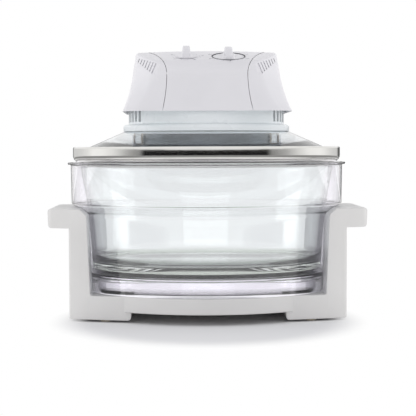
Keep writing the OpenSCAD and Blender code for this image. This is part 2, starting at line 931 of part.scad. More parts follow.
base_moulding();
left_foot_plate();
right_foot_plate();
rubber_feet();
foot_plate_screws();
outer_guard();
glass_bowl();
lid_glass();
lid_band();
lid_seal();
glass_gasket();
clamp_ring();
clamp_screws();
heater_can();
can_brackets();
reflector();
insulation_disc();
lamp_guard();
halogen_lamp();
lamp_filament();
lamp_holders();
sensor_probe();
thermal_fuse();
head_base();
saddle_cover();
left_pod();
right_pod();
cover_screws();
cord_gland();
terminal_block();
timer_unit();
thermostat_unit();
micro_switch();
handle_pins();
motor_stator();
motor_coil();
lower_motor_bracket();
upper_motor_bracket();
bracket_screws();
timer_knob();
timer_shaft();
temperature_knob();
thermostat_shaft();
carry_handle();
switch_plunger();
motor_rotor();
motor_shaft();
cooling_fan();
convection_fan();
fan_nut();
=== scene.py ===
"""Countertop halogen oven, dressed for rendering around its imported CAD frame.

A glass bowl stands in a clear guard on a white base. A glass lid with a steel band carries the heater and
the white control head. Front is -Y, +X is to the right seen from the front, and sizes in the classes are in
millimetres; meshes are in metres, in the frame of the CAD.
"""

import logging
import math
from collections.abc import Callable, Sequence
from dataclasses import dataclass, field
from enum import Enum

import bmesh
import bpy
import numpy as np
from mathutils import Matrix, Vector


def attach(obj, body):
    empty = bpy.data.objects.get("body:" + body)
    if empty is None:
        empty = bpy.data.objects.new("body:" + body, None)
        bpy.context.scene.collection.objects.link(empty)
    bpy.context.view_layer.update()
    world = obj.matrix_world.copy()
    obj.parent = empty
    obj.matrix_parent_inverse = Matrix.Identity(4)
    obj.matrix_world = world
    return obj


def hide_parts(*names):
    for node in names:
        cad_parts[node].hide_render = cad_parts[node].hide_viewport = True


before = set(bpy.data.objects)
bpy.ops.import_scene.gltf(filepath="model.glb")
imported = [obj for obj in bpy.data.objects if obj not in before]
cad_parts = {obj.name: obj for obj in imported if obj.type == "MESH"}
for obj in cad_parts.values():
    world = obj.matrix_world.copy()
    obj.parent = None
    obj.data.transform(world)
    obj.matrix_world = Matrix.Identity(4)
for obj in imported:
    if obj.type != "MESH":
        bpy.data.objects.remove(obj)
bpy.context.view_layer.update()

LOG = logging.getLogger("halogen_oven")
MM = 0.001
Point = tuple[float, float]
Mesh = bpy.types.Mesh
Tree = bpy.types.NodeTree
Socket = bpy.types.NodeSocket
# Places of the two dials to the left and right of the middle
TIMER_X = -24
HEAT_X = 25.5


class Body(Enum):
    """The CAD bodies that pieces ride on."""

    BASE = "base"
    BOWL = "bowl"
    LID = "lid"
    TIMER = "timer_dial"
    TEMPERATURE = "temperature_dial"
    HANDLE = "handle"


# Colours and nodes


def linear(hex_text: str) -> tuple[float, float, float, float]:
    """Turns an sRGB hex colour into linear values.

    Args:
        hex_text: colour such as "#E4E3E8".

    Returns:
        Linear red, green, blue and an alpha of 1.
    """
    levels = [int(hex_text[i : i + 2], 16) / 255 for i in (1, 3, 5)]
    red, green, blue = (v / 12.92 if v <= 0.04045 else ((v + 0.055) / 1.055) ** 2.4 for v in levels)
    return (red, green, blue, 1.0)


def add_node(
    tree: Tree,
    kind: str,
    settings: dict[str | int, object] | None = None,
    links: dict[str | int, Socket] | None = None,
) -> bpy.types.Node:
    """Adds a node with its settings and links.

    Args:
        tree: node tree that gets the node.
        kind: Blender's name of the node type.
        settings: values by input name or index, or by attribute name.
        links: output sockets by the name or index of the input they feed.

    Returns:
        The new node.
    """
    node = tree.nodes.new(kind)
    for key, value in (settings or {}).items():
        if isinstance(key, int) or key in node.inputs:
            node.inputs[key].default_value = value
        else:
            setattr(node, key, value)
    for key, socket in (links or {}).items():
        tree.links.new(socket, node.inputs[key])
    return node


def principled(tree: Tree, settings: dict[str | int, object], links: dict[str | int, Socket]) -> Socket:
    """Adds a principled shader and returns its surface."""
    return add_node(tree, "ShaderNodeBsdfPrincipled", settings, links).outputs[0]


def larger(tree: Tree, first: Socket, second: Socket) -> Socket:
    """Adds the larger of two values."""
    return add_node(tree, "ShaderNodeMath", {"operation": "MAXIMUM"}, {0: first, 1: second}).outputs[0]


def mixed(tree: Tree, share: Socket, first: Socket, second: Socket) -> Socket:
    """Mixes two shaders; a share of 1 gives the second."""
    return add_node(tree, "ShaderNodeMixShader", links={0: share, 1: first, 2: second}).outputs[0]


@dataclass(frozen=True)
class Finish:
    """What every finish has: a name and a way to fill its node tree."""

    name: str

    def fill(self, tree: Tree) -> Socket:
        """Adds the finish's nodes and returns its surface."""
        raise NotImplementedError

    def material(self) -> bpy.types.Material:
        """Makes the material once and gives the same one after that."""
        known = bpy.data.materials.get(self.name)
        if known is not None:
            return known
        made = bpy.data.materials.new(self.name)
        made.use_nodes = True
        made.node_tree.nodes.clear()
        surface = self.fill(made.node_tree)
        add_node(made.node_tree, "ShaderNodeOutputMaterial", links={"Surface": surface})
        return made


def pattern(tree: Tree, size_mm: float, stretch: Sequence[float] = (1, 1, 1), detail: float = 2.0) -> Socket:
    """Adds a noise pattern in the object's own space.

    Args:
        tree: node tree that gets the nodes.
        size_mm: real size of one grain or patch.
        stretch: factors on the pattern's frequency along X, Y and Z.
        detail: octaves of finer noise.

    Returns:
        The pattern's 0 to 1 value.
    """
    where = add_node(tree, "ShaderNodeTexCoord").outputs["Object"]
    spread = add_node(tree, "ShaderNodeMapping", {"Scale": tuple(stretch)}, {"Vector": where})
    settings = {"Scale": 1 / (size_mm * MM), "Detail": detail}
    return add_node(tree, "ShaderNodeTexNoise", settings, {"Vector": spread.outputs[0]}).outputs["Fac"]


def spread_value(tree: Tree, source: Socket, low: float, high: float) -> Socket:
    """Maps a pattern's usual 0.3 to 0.7 on to low to high.

    Args:
        tree: node tree that gets the node.
        source: the pattern.
        low: value at the pattern's low end.
        high: value at the pattern's high end.

    Returns:
        The mapped value.
    """
    settings = {"From Min": 0.3, "From Max": 0.7, "To Min": low, "To Max": high}
    return add_node(tree, "ShaderNodeMapRange", settings, {"Value": source}).outputs["Result"]


def blend(tree: Tree, share: Socket, low: str, high: str) -> Socket:
    """Mixes two hex colours by a share from 0 to 1."""
    mix = add_node(tree, "ShaderNodeMix", {"data_type": "RGBA", 6: linear(low), 7: linear(high)}, {0: share})
    return mix.outputs[2]


def two_tone(tree: Tree, source: Socket, low: str, high: str) -> Socket:
    """Blends two hex colours by a pattern."""
    return blend(tree, spread_value(tree, source, 0.0, 1.0), low, high)


def by_height(tree: Tree, level: float, low: str, high: str) -> Socket:
    """Changes a colour at a height of the object.

    Args:
        tree: node tree that gets the nodes.
        level: height of the change, in millimetres.
        low: hex colour below it.
        high: hex colour above it.

    Returns:
        The colour.
    """
    soft = 6.0
    where = add_node(tree, "ShaderNodeTexCoord").outputs["Object"]
    axes = add_node(tree, "ShaderNodeSeparateXYZ", links={"Vector": where})
    settings = {"From Min": (level - soft) * MM, "From Max": (level + soft) * MM}
    share = add_node(tree, "ShaderNodeMapRange", settings, {"Value": axes.outputs["Z"]})
    return blend(tree, share.outputs["Result"], low, high)


def relief(tree: Tree, source: Socket, depth_mm: float) -> Socket:
    """Adds a bump whose depth between the pattern's low and high is given in millimetres."""
    settings = {"Strength": 1.0, "Distance": depth_mm * MM}
    return add_node(tree, "ShaderNodeBump", settings, {"Height": source}).outputs["Normal"]


@dataclass(frozen=True)
class MouldedPlastic(Finish):
    """Injection moulded plastic: a fine spark grain from the tool and a faint cloud in the colour."""

    colour: str
    cloud: str
    roughness: float = 0.34
    grain_mm: float = 0.5
    grain_depth_mm: float = 0.008
    cloud_mm: float = 45

    def fill(self, tree: Tree) -> Socket:
        """Adds the nodes of moulded plastic.

        Args:
            tree: the material's node tree.

        Returns:
            The surface.
        """
        flow = pattern(tree, self.cloud_mm)
        links = {
            "Base Color": two_tone(tree, flow, self.colour, self.cloud),
            "Roughness": spread_value(tree, flow, self.roughness - 0.03, self.roughness + 0.04),
            "Normal": relief(tree, pattern(tree, self.grain_mm), self.grain_depth_mm),
        }
        return principled(tree, {"IOR": 1.5}, links)


@dataclass(frozen=True)
class ClearWall(Finish):
    """Clear glass or plastic that lets the lamps' light through to what is behind it."""

    tint: str
    ior: float
    wave_mm: float
    wave_depth_mm: float
    haze: float = 0.0
    shade: str = "#FCFCFD"
    thick_tint: str = ""
    thick_below: float = 66.0

    def fill(self, tree: Tree) -> Socket:
        """Adds the nodes of a clear wall.

        Args:
            tree: the material's node tree.

        Returns:
            The surface.
        """
        wave = pattern(tree, self.wave_mm, detail=0.0)
        links = {
            "Roughness": spread_value(tree, wave, self.haze, self.haze + 0.012),
            "Normal": relief(tree, wave, self.wave_depth_mm),
        }
        if self.thick_tint:
            links["Base Color"] = by_height(tree, self.thick_below, self.thick_tint, self.tint)
        settings = {"Base Color": linear(self.tint), "IOR": self.ior, "Transmission Weight": 1.0}
        clear = principled(tree, settings, links)
        passing = add_node(tree, "ShaderNodeBsdfTransparent", {"Color": linear(self.shade)}).outputs[0]
        path = add_node(tree, "ShaderNodeLightPath").outputs
        lit = larger(tree, path["Is Shadow Ray"], path["Is Diffuse Ray"])
        return mixed(tree, lit, clear, passing)


@dataclass(frozen=True)
class Metal(Finish):
    """Bare or plated metal with rolling or drawing lines."""

    colour: str
    patch: str
    roughness: float = 0.25
    line_mm: float = 0.4
    line_depth_mm: float = 0.002
    stretch: tuple[float, float, float] = (0.04, 0.04, 1.0)
    patch_mm: float = 22

    def fill(self, tree: Tree) -> Socket:
        """Adds the nodes of metal.

        Args:
            tree: the material's node tree.

        Returns:
            The surface.
        """
        lines = pattern(tree, self.line_mm, self.stretch)
        links = {
            "Base Color": two_tone(tree, pattern(tree, self.patch_mm), self.colour, self.patch),
            "Roughness": spread_value(tree, lines, self.roughness * 0.75, self.roughness * 1.3),
            "Normal": relief(tree, lines, self.line_depth_mm),
        }
        return principled(tree, {"Metallic": 1.0}, links)


@dataclass(frozen=True)
class Matt(Finish):
    """Rubber, ceramic, fibre board or varnish: no metal, a broad soft gloss and a visible grain."""

    colour: str
    patch: str
    roughness: float
    grain_mm: float
    grain_depth_mm: float

    def fill(self, tree: Tree) -> Socket:
        """Adds the nodes of a matt surface.

        Args:
            tree: the material's node tree.

        Returns:
            The surface.
        """
        grain = pattern(tree, self.grain_mm, detail=4.0)
        links = {
            "Base Color": two_tone(tree, pattern(tree, self.grain_mm * 8), self.colour, self.patch),
            "Normal": relief(tree, grain, self.grain_depth_mm),
        }
        return principled(tree, {"Roughness": self.roughness}, links)


# White ABS, moulded in a lightly sparked tool: a soft sheen without mirror images
WHITE_ABS = MouldedPlastic("white_moulded_abs", "#E7E6EA", "#E3E2E6")
# The same ABS in the base, a warmer white, painted darker than the head's white as painted shade: the base
# gets less light than the head
BASE_ABS_PAINTED_SHADE = MouldedPlastic("warm_white_abs_painted_shade", "#DCDBDA", "#D8D7D6")
# Heat resistant PBT of the head base: a cooler white than the cover, a little glossier, and painted brighter
# than the cover as painted light against the shade under the head's overhang
COOL_PBT_PAINTED_LIGHT = MouldedPlastic("cool_white_pbt_painted_light", "#F2F6F8", "#EEF3F5", roughness=0.28)
# Polycarbonate, moulded and polished: faint flow waves and a lavender cast
CLEAR_PC = ClearWall("clear_moulded_polycarbonate", "#FDFCFF", 1.56, 90, 0.012, 0.004)
# Pressed soda lime glass, green where it is thick, with slow waves from the press
BOWL_GLASS = ClearWall("pressed_bowl_glass", "#FAFDFB", 1.5, 60, 0.02, thick_tint="#CBD4C9")
# Tempered lid glass: bent sheet, smoother than pressed glass, a little smoky
LID_GLASS = ClearWall("tempered_lid_glass", "#F1F4F6", 1.5, 90, 0.01, shade="#F6F8F9")
# Fused quartz tube of the lamp: very clear
QUARTZ = ClearWall("fused_quartz", "#FAFBFC", 1.46, 12, 0.01)
# Stainless strip, rolled and buffed: lines run round the band
BAND_STEEL = Metal("buffed_stainless_steel", "#E4E3E0", "#DFDEDA", 0.08, 0.6, 0.002)
# Stainless can, deep drawn: a blue grey mirror whose colour is painted dark, as a painted reflection of the
# dark surroundings it mirrors
CAN_STEEL_PAINTED_REFLECTION = Metal("stainless_steel_painted_dark_reflection", "#2E3338", "#282C31", 0.18, 0.8, 0.003)
# Spring steel brackets with a brown heat tint
TINTED_STEEL = Metal("heat_tinted_steel", "#A08F7C", "#8F7E6C", 0.35)
# Zinc plated sheet and screws: pale, with soft spangle
ZINC_PLATE = Metal("zinc_plated_steel", "#C4C6C8", "#B4B7BA", 0.3, 3.0, 0.004, (1, 1, 1))
# Anodised aluminium reflector and stamped fans
ALUMINIUM = Metal("bright_rolled_aluminium", "#DADBDC", "#D0D2D3", 0.22, 0.5, 0.002, (1.0, 0.05, 0.05))
# Yellow passivated steel case of the timer
PASSIVATED = Metal("yellow_passivated_steel", "#C9B276", "#B7A36D", 0.35, 2.0, 0.003, (1, 1, 1))
# Drawn copper of the sensor's sleeve
COPPER = Metal("drawn_copper", "#C98F6B", "#B97F5C", 0.3)
# Enamelled copper wire of the motor coil: orange brown turns
WINDING = Metal("enamelled_copper_wire", "#B26A3C", "#9A5730", 0.35, 0.5, 0.08, (0.05, 0.05, 1.0))
# Stacked silicon steel sheets with a bluish oxide
LAMINATION = Metal("oxidised_lamination_steel", "#7B7F86", "#6C7077", 0.45, 0.5, 0.05, (0.05, 0.05, 1.0))
# Tungsten wire
TUNGSTEN = Metal("tungsten_wire", "#B7A184", "#A28D72", 0.4)
# Natural rubber pads, matt and cream
CREAM_RUBBER = Matt("cream_moulded_rubber", "#E2D8C2", "#D9CDB4", 0.7, 0.6, 0.02)
# Platinum cured silicone, matt and milky
SILICONE = Matt("milky_silicone", "#E3E2DE", "#DAD9D5", 0.5, 0.8, 0.01)
# Ceramic fibre board under the head: white and felted
FIBRE_BOARD = Matt("ceramic_fibre_board", "#EAE6DA", "#E0DCCF", 0.9, 0.7, 0.08)
# Steatite lamp ends: dense cream ceramic
STEATITE = Matt("cream_steatite", "#E9E3D5", "#E0DACB", 0.45, 0.4, 0.01)
# Phenolic terminal block
PHENOLIC = Matt("cream_phenolic", "#D6CFBE", "#CCC5B2", 0.5, 0.6, 0.01)
# Red nylon of the safety switch
RED_NYLON = Matt("red_nylon", "#A23634", "#962F2E", 0.45, 0.6, 0.01)
# Grey pad printed ink of the scales: flat, slightly uneven
GREY_INK = Matt("grey_printed_ink", "#6F7077", "#7A7B82", 0.6, 0.3, 0.002)
# Dark grey painted shade: the ring that lines the dial's recess stands for the shadowed gap round the dial,
# and the sleeve behind the vents for the shaded inside of the head
PAINTED_SHADE_GREY = Matt("grey_painted_shade", "#5A5B60", "#626368", 0.6, 0.4, 0.01)


# Meshes


def shown(name: str, mesh: Mesh, sharp_deg: float = 40) -> bpy.types.Object:
    """Links a mesh as an object, shaded smooth except over edges sharper than an angle.

    Args:
        name: name of the object.
        mesh: its mesh, in metres.
        sharp_deg: edges above this angle stay sharp.

    Returns:
        The new object.
    """
    mesh.polygons.foreach_set("use_smooth", [True] * len(mesh.polygons))
    mesh.set_sharp_from_angle(angle=math.radians(sharp_deg))
    made = bpy.data.objects.new(name, mesh)
    bpy.context.scene.collection.objects.link(made)
    return made


def mesh_of(name: str, points: np.ndarray, faces: Sequence[Sequence[int]]) -> Mesh:
    """Makes a mesh from points in millimetres.

    Args:
        name: name of the mesh.
        points: one row of x, y, z for each vertex.
        faces: vertex numbers of each face.

    Returns:
        The mesh, in metres, with its faces turned outwards.
    """
    mesh = bpy.data.meshes.new(name)
    mesh.from_pydata((np.asarray(points, float) * MM).tolist(), [], [list(f) for f in faces])
    work = bmesh.new()
    work.from_mesh(mesh)
    bmesh.ops.remove_doubles(work, verts=work.verts, dist=1e-7)
    bmesh.ops.recalc_face_normals(work, faces=work.faces)
    work.to_mesh(mesh)
    work.free()
    return mesh


def rounded(corners: Sequence[tuple[float, float, float]], steps: int = 6) -> list[Point]:
    """Rounds the corners of a closed outline.

    Args:
        corners: x, y and radius of each corner.
        steps: segments of each arc.

    Returns:
        The outline's points.
    """
    made: list[Point] = []
    count = len(corners)
    for i, (x, y, radius) in enumerate(corners):
        here = Vector((x, y))
        before = Vector(corners[i - 1][:2]) - here
        after = Vector(corners[(i + 1) % count][:2]) - here
        angle = before.angle(after)
        if radius <= 0 or angle > math.radians(179):
            made.append((x, y))
            continue
        reach = min(radius / math.tan(angle / 2), before.length * 0.49, after.length * 0.49)
        first, last = here + before.normalized() * reach, here + after.normalized() * reach
        bow = reach * math.tan(angle / 2)
        centre = here + (before.normalized() + after.normalized()).normalized() * (bow / math.sin(angle / 2))
        from_angle = math.atan2(first.y - centre.y, first.x - centre.x)
        turn = math.atan2(last.y - centre.y, last.x - centre.x) - from_angle
        turn = (turn + math.pi) % (2 * math.pi) - math.pi
        for k in range(steps + 1):
            a = from_angle + turn * k / steps
            made.append((centre.x + bow * math.cos(a), centre.y + bow * math.sin(a)))
    return made


def revolve(name: str, outline: Sequence[Point], segments: int = 192) -> Mesh:
    """Turns a closed outline about the Z axis.

    Args:
        name: name of the mesh.
        outline: radius and height of each point, in order; points at radius 0 become poles.
        segments: number of segments round the axis.

    Returns:
        A closed mesh.
    """
    angles = np.linspace(0, 2 * math.pi, segments, endpoint=False)
    rows: list[list[int]] = []
    points: list[tuple[float, float, float]] = []
    for radius, height in outline:
        if radius < 1e-6:
            rows.append([len(points)] * segments)
            points.append((0.0, 0.0, height))
        else:
            rows.append(list(range(len(points), len(points) + segments)))
            points += [(radius * math.cos(a), radius * math.sin(a), height) for a in angles]
    faces = []
    for low, high in zip(rows, rows[1:] + rows[:1]):
        for k in range(segments):
            n = (k + 1) % segments
            ring = list(dict.fromkeys((low[k], low[n], high[n], high[k])))
            if len(ring) > 2:
                faces.append(ring)
    return mesh_of(name, np.array(points), faces)


def loft(name: str, loops: Sequence[np.ndarray], caps: bool = True) -> Mesh:
    """Joins closed loops with the same number of points.

    Args:
        name: name of the mesh.
        loops: arrays of points, one for each loop.
        caps: closes the first and last loop with a face each, or else joins the last loop to the first.

    Returns:
        A closed mesh.
    """
    count = len(loops[0])
    faces = []
    pairs = list(zip(range(len(loops)), range(1, len(loops))))
    if caps:
        faces += [list(range(count)), [(len(loops) - 1) * count + k for k in range(count)]]
    else:
        pairs.append((len(loops) - 1, 0))
    for low, high in pairs:
        for k in range(count):
            n = (k + 1) % count
            faces.append([low * count + k, low * count + n, high * count + n, high * count + k])
    return mesh_of(name, np.concatenate(loops), faces)


def extrude(
    name: str, outline: Sequence[Point], low: float, high: float, bevel: float = 0.0, axis: str = "Z"
) -> Mesh:
    """Extrudes an outline and rounds the edges of both caps.

    Args:
        name: name of the mesh.
        outline: closed outline, as x and y for axis Z, or as x and z for axis Y.
        low: lower end of the extrusion.
        high: upper end of the extrusion.
        bevel: radius on the caps' edges.
        axis: "Z" or "Y".

    Returns:
        A closed mesh.
    """
    work = bmesh.new()
    ground = [work.verts.new((x * MM, y * MM, low * MM)) for x, y in outline]
    face = work.faces.new(ground)
    raised = bmesh.ops.extrude_face_region(work, geom=[face])
    top = [g for g in raised["geom"] if isinstance(g, bmesh.types.BMVert)]
    bmesh.ops.translate(work, verts=top, vec=(0, 0, (high - low) * MM))
    bmesh.ops.recalc_face_normals(work, faces=work.faces)
    if bevel > 0:
        rims = [e for e in work.edges if abs(e.verts[0].co.z - e.verts[1].co.z) < 1e-9]
        soft = {"segments": 3, "profile": 0.5, "affect": "EDGES", "clamp_overlap": True}
        bmesh.ops.bevel(work, geom=rims, offset=bevel * MM, **soft)
    if axis == "Y":
        bmesh.ops.rotate(work, verts=work.verts, cent=(0, 0, 0), matrix=Matrix.Rotation(math.pi / 2, 3, "X"))
    bmesh.ops.recalc_face_normals(work, faces=work.faces)
    mesh = bpy.data.meshes.new(name)
    work.to_mesh(mesh)
    work.free()
    return mesh


def block(name: str, low: Sequence[float], high: Sequence[float], bevel: float = 0.0) -> Mesh:
    """Makes a box between two corners.

    Args:
        name: name of the mesh.
        low: its lowest corner.
        high: its highest corner.
        bevel: radius on its edges.

    Returns:
        A closed mesh.
    """
    work = bmesh.new()
    bmesh.ops.create_cube(work, size=1.0)
    for vert in work.verts:
        vert.co = Vector(((h + l) / 2 + c * (h - l)) * MM for l, h, c in zip(low, high, vert.co))
    if bevel > 0:
        bmesh.ops.bevel(work, geom=work.edges[:], offset=bevel * MM, segments=3, profile=0.5, affect="EDGES")
    mesh = bpy.data.meshes.new(name)
    work.to_mesh(mesh)
    work.free()
    return mesh


def joined(name: str, meshes: Sequence[Mesh]) -> Mesh:
    """Puts several meshes into one.

    Args:
        name: name of the new mesh.
        meshes: the meshes, which stay as they are.

    Returns:
        The new mesh.
    """
    work = bmesh.new()
    for mesh in meshes:
        work.from_mesh(mesh)
    made = bpy.data.meshes.new(name)
    work.to_mesh(made)
    work.free()
    return made


def placed(mesh: Mesh, matrix: Matrix) -> Mesh:
    """Gives a moved copy of a mesh.

    Args:
        mesh: mesh to copy.
        matrix: the move, its shift in millimetres.

    Returns:
        The copy.
    """
    moved = mesh.copy()
    shift = matrix.copy()
    shift.translation *= MM
    moved.transform(shift)
    if matrix.determinant() < 0:
        moved.flip_normals()
    return moved


def mirrored(mesh: Mesh) -> Mesh:
    """Gives a copy of a mesh mirrored in the plane x = 0."""
    return placed(mesh, Matrix.Scale(-1, 4, (1, 0, 0)))


class Cut(Enum):
    """How one mesh changes another."""

    TAKE = "DIFFERENCE"
    KEEP = "INTERSECT"
    ADD = "UNION"


def carved(mesh: Mesh, tool: Mesh, how: Cut) -> Mesh:
    """Cuts, keeps or adds by another closed mesh.

    Args:
        mesh: mesh to change.
        tool: mesh that changes it.
        how: what is done.

    Returns:
        The new mesh.
    """
    first, second = (bpy.data.objects.new("carving", m) for m in (mesh, tool))
    for each in (first, second):
        bpy.context.scene.collection.objects.link(each)
    step = first.modifiers.new("carve", "BOOLEAN")
    step.operation, step.object, step.solver = how.value, second, "EXACT"
    graph = bpy.context.evaluated_depsgraph_get()
    made = bpy.data.meshes.new_from_object(first.evaluated_get(graph))
    for each in (first, second):
        bpy.data.objects.remove(each)
    return made


def dress(
    name: str,
    mesh: Mesh,
    finish: Finish,
    body: Body,
    nodes: Sequence[str] = (),
    sharp_deg: float = 40,
) -> bpy.types.Object:
    """Shows a mesh with its finish, on its body and in place of CAD nodes.

    Args:
        name: name of the piece.
        mesh: its mesh.
        finish: its finish.
        body: body it rides on.
        nodes: CAD nodes that it stands for.
        sharp_deg: edges above this angle stay sharp.

    Returns:
        The piece.
    """
    mesh.materials.clear()
    mesh.materials.append(finish.material())
    mesh.polygons.foreach_set("material_index", [0] * len(mesh.polygons))
    made = shown(name, mesh, sharp_deg)
    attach(made, body.value)
    if nodes:
        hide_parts(*nodes)
    LOG.info("%s: %d faces on %s", name, len(mesh.polygons), body.value)
    return made


def finish_nodes(finishes: dict[str, Finish]) -> None:
    """Gives CAD nodes that stay as they are their finish.

    Args:
        finishes: the finish of each node by name.
    """
    for node, finish in finishes.items():
        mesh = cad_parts[node].data
        mesh.materials.clear()
        mesh.materials.append(finish.material())
        LOG.info("%s: CAD node in %s", node, finish.name)


# Sub-assemblies


@dataclass
class BaseUnit:
    """White base moulding with its feet, and the clear guard that stands in it."""

    tray_r: float = 146
    skirt_z: float = 12
    rim_z: float = 30
    deck_z: float = 28.8
    foot_z: float = 2.5
    upright_x: float = 160
    grip_x: float = 185.7
    grip_low: float = 106.5
    top_z: float = 128.5
    face_r: float = 400
    face_depth: float = 121.6
    wall: float = 3
    edge_r: float = 1.4
    lap: float = 0.03

    def half_depth(self, x: float, end: float, radius: float) -> float:
        """Gives the half depth of the plan at x.

        Args:
            x: distance from the middle.
            end: where the plan ends.
            radius: corner radius at that end.

        Returns:
            Distance from the plane y = 0 to the face.
        """
        offset = self.face_r - self.face_depth
        corner_x = end - radius
        corner_y = math.sqrt((self.face_r - radius) ** 2 - corner_x**2) - offset
        touch = self.face_r * corner_x / (self.face_r - radius)
        if x <= touch:
            return math.sqrt(self.face_r**2 - x * x) - offset
        return corner_y + math.sqrt(max(radius**2 - (x - corner_x) ** 2, 0))

    def cheek(
        self, name: str, outline: Sequence[Point], end: float, radius: float, edge: float, inset: float = 0.0
    ) -> Mesh:
        """Makes a block whose front and back follow the base's curved faces.

        Args:
            name: name of the mesh.
            outline: x and z of the front outline.
            end: where the plan ends.
            radius: corner radius in plan.
            edge: radius on the front and back edges.
            inset: how far the block stays behind those faces.

        Returns:
            A closed mesh for the right side.
        """
        nominal = 100.0
        flat = extrude(name, outline, -nominal, nominal, edge, "Y")
        work = bmesh.new()
        work.from_mesh(flat)
        start = min(x for x, _ in outline)
        stations = list(np.arange(start + 3, end - radius, 4.0))
        stations += [end - radius * (1 - math.cos(math.radians(a))) for a in range(12, 90, 13)]
        stations += [end - radius * (1 - math.sin(math.radians(a))) for a in range(0, 90, 10)]
        for x in sorted(set(round(s, 3) for s in stations)):
            if x >= max(p[0] for p in outline) - 0.02:
                continue
            every = work.verts[:] + work.edges[:] + work.faces[:]
            bmesh.ops.bisect_plane(work, geom=every, plane_co=(x * MM, 0, 0), plane_no=(1, 0, 0), dist=1e-6)
        for vert in work.verts:
            depth = self.half_depth(min(vert.co.x / MM, end), end, radius)
            side = math.copysign(1.0, vert.co.y)
            vert.co.y += side * (depth - nominal - inset) * MM
        work.to_mesh(flat)
        work.free()
        return flat

    def right_side(self) -> list[Mesh]:
        """Makes the right foot with its upright, and the right grip."""
        tray_top = self.rim_z + self.lap
        upright = [
            (88.3, self.foot_z, 4.2), (self.upright_x, self.foot_z, 1.8),
            (self.upright_x, self.top_z, 2.0), (147, self.top_z, 5.0),
            (139, 121.5, 5.0), (135, tray_top, 2.4), (86, tray_top, 1.6),
        ]
        grip = [
            (150, self.grip_low, 0), (184.5, self.grip_low, 4.0),
            (self.grip_x, self.top_z, 3.4), (150, self.top_z, 0),
        ]
        return [
            self.cheek("upright", rounded(upright), self.upright_x, 5, self.edge_r),
            self.cheek("grip", rounded(grip), self.grip_x, 12, self.edge_r, self.lap),
        ]

    def guard_space(self) -> Mesh:
        """Makes the space in the base that the guard stands in."""
        low, high = self.deck_z, 133.1
        outline = [(0, low), (142.9, low), (143.6, self.rim_z + 1), (146.9, 121), (165.2, high), (0, high)]
        return revolve("guard_space", outline)

    def moulding(self) -> Mesh:
        """Makes the whole base moulding."""
        inner_r, under_z = self.tray_r - self.wall, self.deck_z - self.wall
        outline = [
            (0, self.rim_z, 0), (self.tray_r, self.rim_z, 1.0), (self.tray_r, self.skirt_z, 1.2),
            (inner_r, self.skirt_z, 0.4), (inner_r, under_z, 2), (0, under_z, 0),
        ]
        tray = revolve("tray", rounded(outline, 4), 240)
        upright, grip = self.right_side()
        side = carved(carved(upright, grip, Cut.ADD), self.guard_space(), Cut.TAKE)
        foot_hollow = rounded([(92.6, 0, 0), (157, 0, 0), (157, 25, 3), (92.6, 25, 3)], 3)
        grip_hollow = rounded([(160.2, 100, 0), (183.4, 100, 0), (184, 125.5, 2), (160.2, 125.5, 1)], 3)
        for pocket in (
            self.cheek("foot_hollow", foot_hollow, self.upright_x - self.wall, 2.5, 0, self.wall),
            self.cheek("grip_hollow", grip_hollow, self.grip_x - self.wall, 9, 0, self.wall),
        ):
            side = carved(side, pocket, Cut.TAKE)
        made = carved(tray, self.guard_space(), Cut.TAKE)
        for each in (side, mirrored(side)):
            made = carved(made, each, Cut.ADD)
        return made

    def guard(self) -> Mesh:
        """Makes the clear guard with its flange, step, shelf and dish."""
        outline = [
            (0, 35.3, 0), (0, 32.8, 0), (131, 32.8, 8), (131, 49, 1.5), (140.7, 49, 1.5), (140, 28.8, 0.5),
            (142.5, 28.8, 0.6), (145.8, 121.5, 8), (161.8, 132, 3), (162.7, 179, 1.2), (166.2, 179, 0.9),
            (166.2, 181.5, 0.9), (160.2, 181.5, 1.0), (159.3, 133, 3), (143.3, 122.5, 8), (140.8, 51.5, 1),
            (128.5, 51.5, 1.5), (128.5, 35.3, 5.5),
        ]
        return revolve("outer_guard", rounded(outline, 5), 256)

    def build(self) -> None:
        """Shows the base's pieces."""
        # The base's finish is the head's white ABS painted darker, as painted shade
        dress("base_body", self.moulding(), BASE_ABS_PAINTED_SHADE, Body.BASE, ["base_moulding"], 32)
        dress("guard_wall", self.guard(), CLEAR_PC, Body.BASE, ["outer_guard"])
        finish_nodes(
            {
                "left_foot_plate": BASE_ABS_PAINTED_SHADE,
                "right_foot_plate": BASE_ABS_PAINTED_SHADE,
                "rubber_feet": CREAM_RUBBER,
                "foot_plate_screws": ZINC_PLATE,
            }
        )


@dataclass
class Bowl:
    """Pressed glass bowl with a thick floor and a rolled rim."""

    foot_z: float = 51.5
    floor_z: float = 63
    wall: float = 5

    def outer(self, z: float) -> float:
        """Outer radius of the bowl at height z."""
        return 137.5 + 0.03 * (z - 61) + 0.0008 * (z - 61) ** 2

    def outline(self) -> list[Point]:
        """Gives the closed outline of the bowl's wall."""
        heights = np.linspace(66, 172, 22)
        outside = [(self.outer(z), z, 0) for z in heights]
        inside = [(self.outer(z) - self.wall, z, 0) for z in heights[::-1] if z > 84]
        kick_z, neck_z, rim_z = self.foot_z + 2.5, 177, 181.5
        neck_r = self.outer(neck_z)
        corners = [
            (0, kick_z, 0), (124, kick_z, 1), (127, self.foot_z, 1), (132, self.foot_z, 1.5),
            (137.3, 56.5, 4),
            *outside,
            (neck_r, neck_z, 2), (154.5, 178.3, 1), (154.5, rim_z, 1.4), (149, rim_z, 1.4),
            (neck_r - self.wall, neck_z, 2),
            *inside,
            (self.outer(66) - self.wall, self.floor_z, 14), (0, self.floor_z, 0),
        ]
        return rounded(corners)

    def build(self) -> None:
        """Shows the bowl."""
        mesh = revolve("glass_bowl", self.outline(), 256)
        dress("bowl_wall", mesh, BOWL_GLASS, Body.BOWL, ["glass_bowl"])


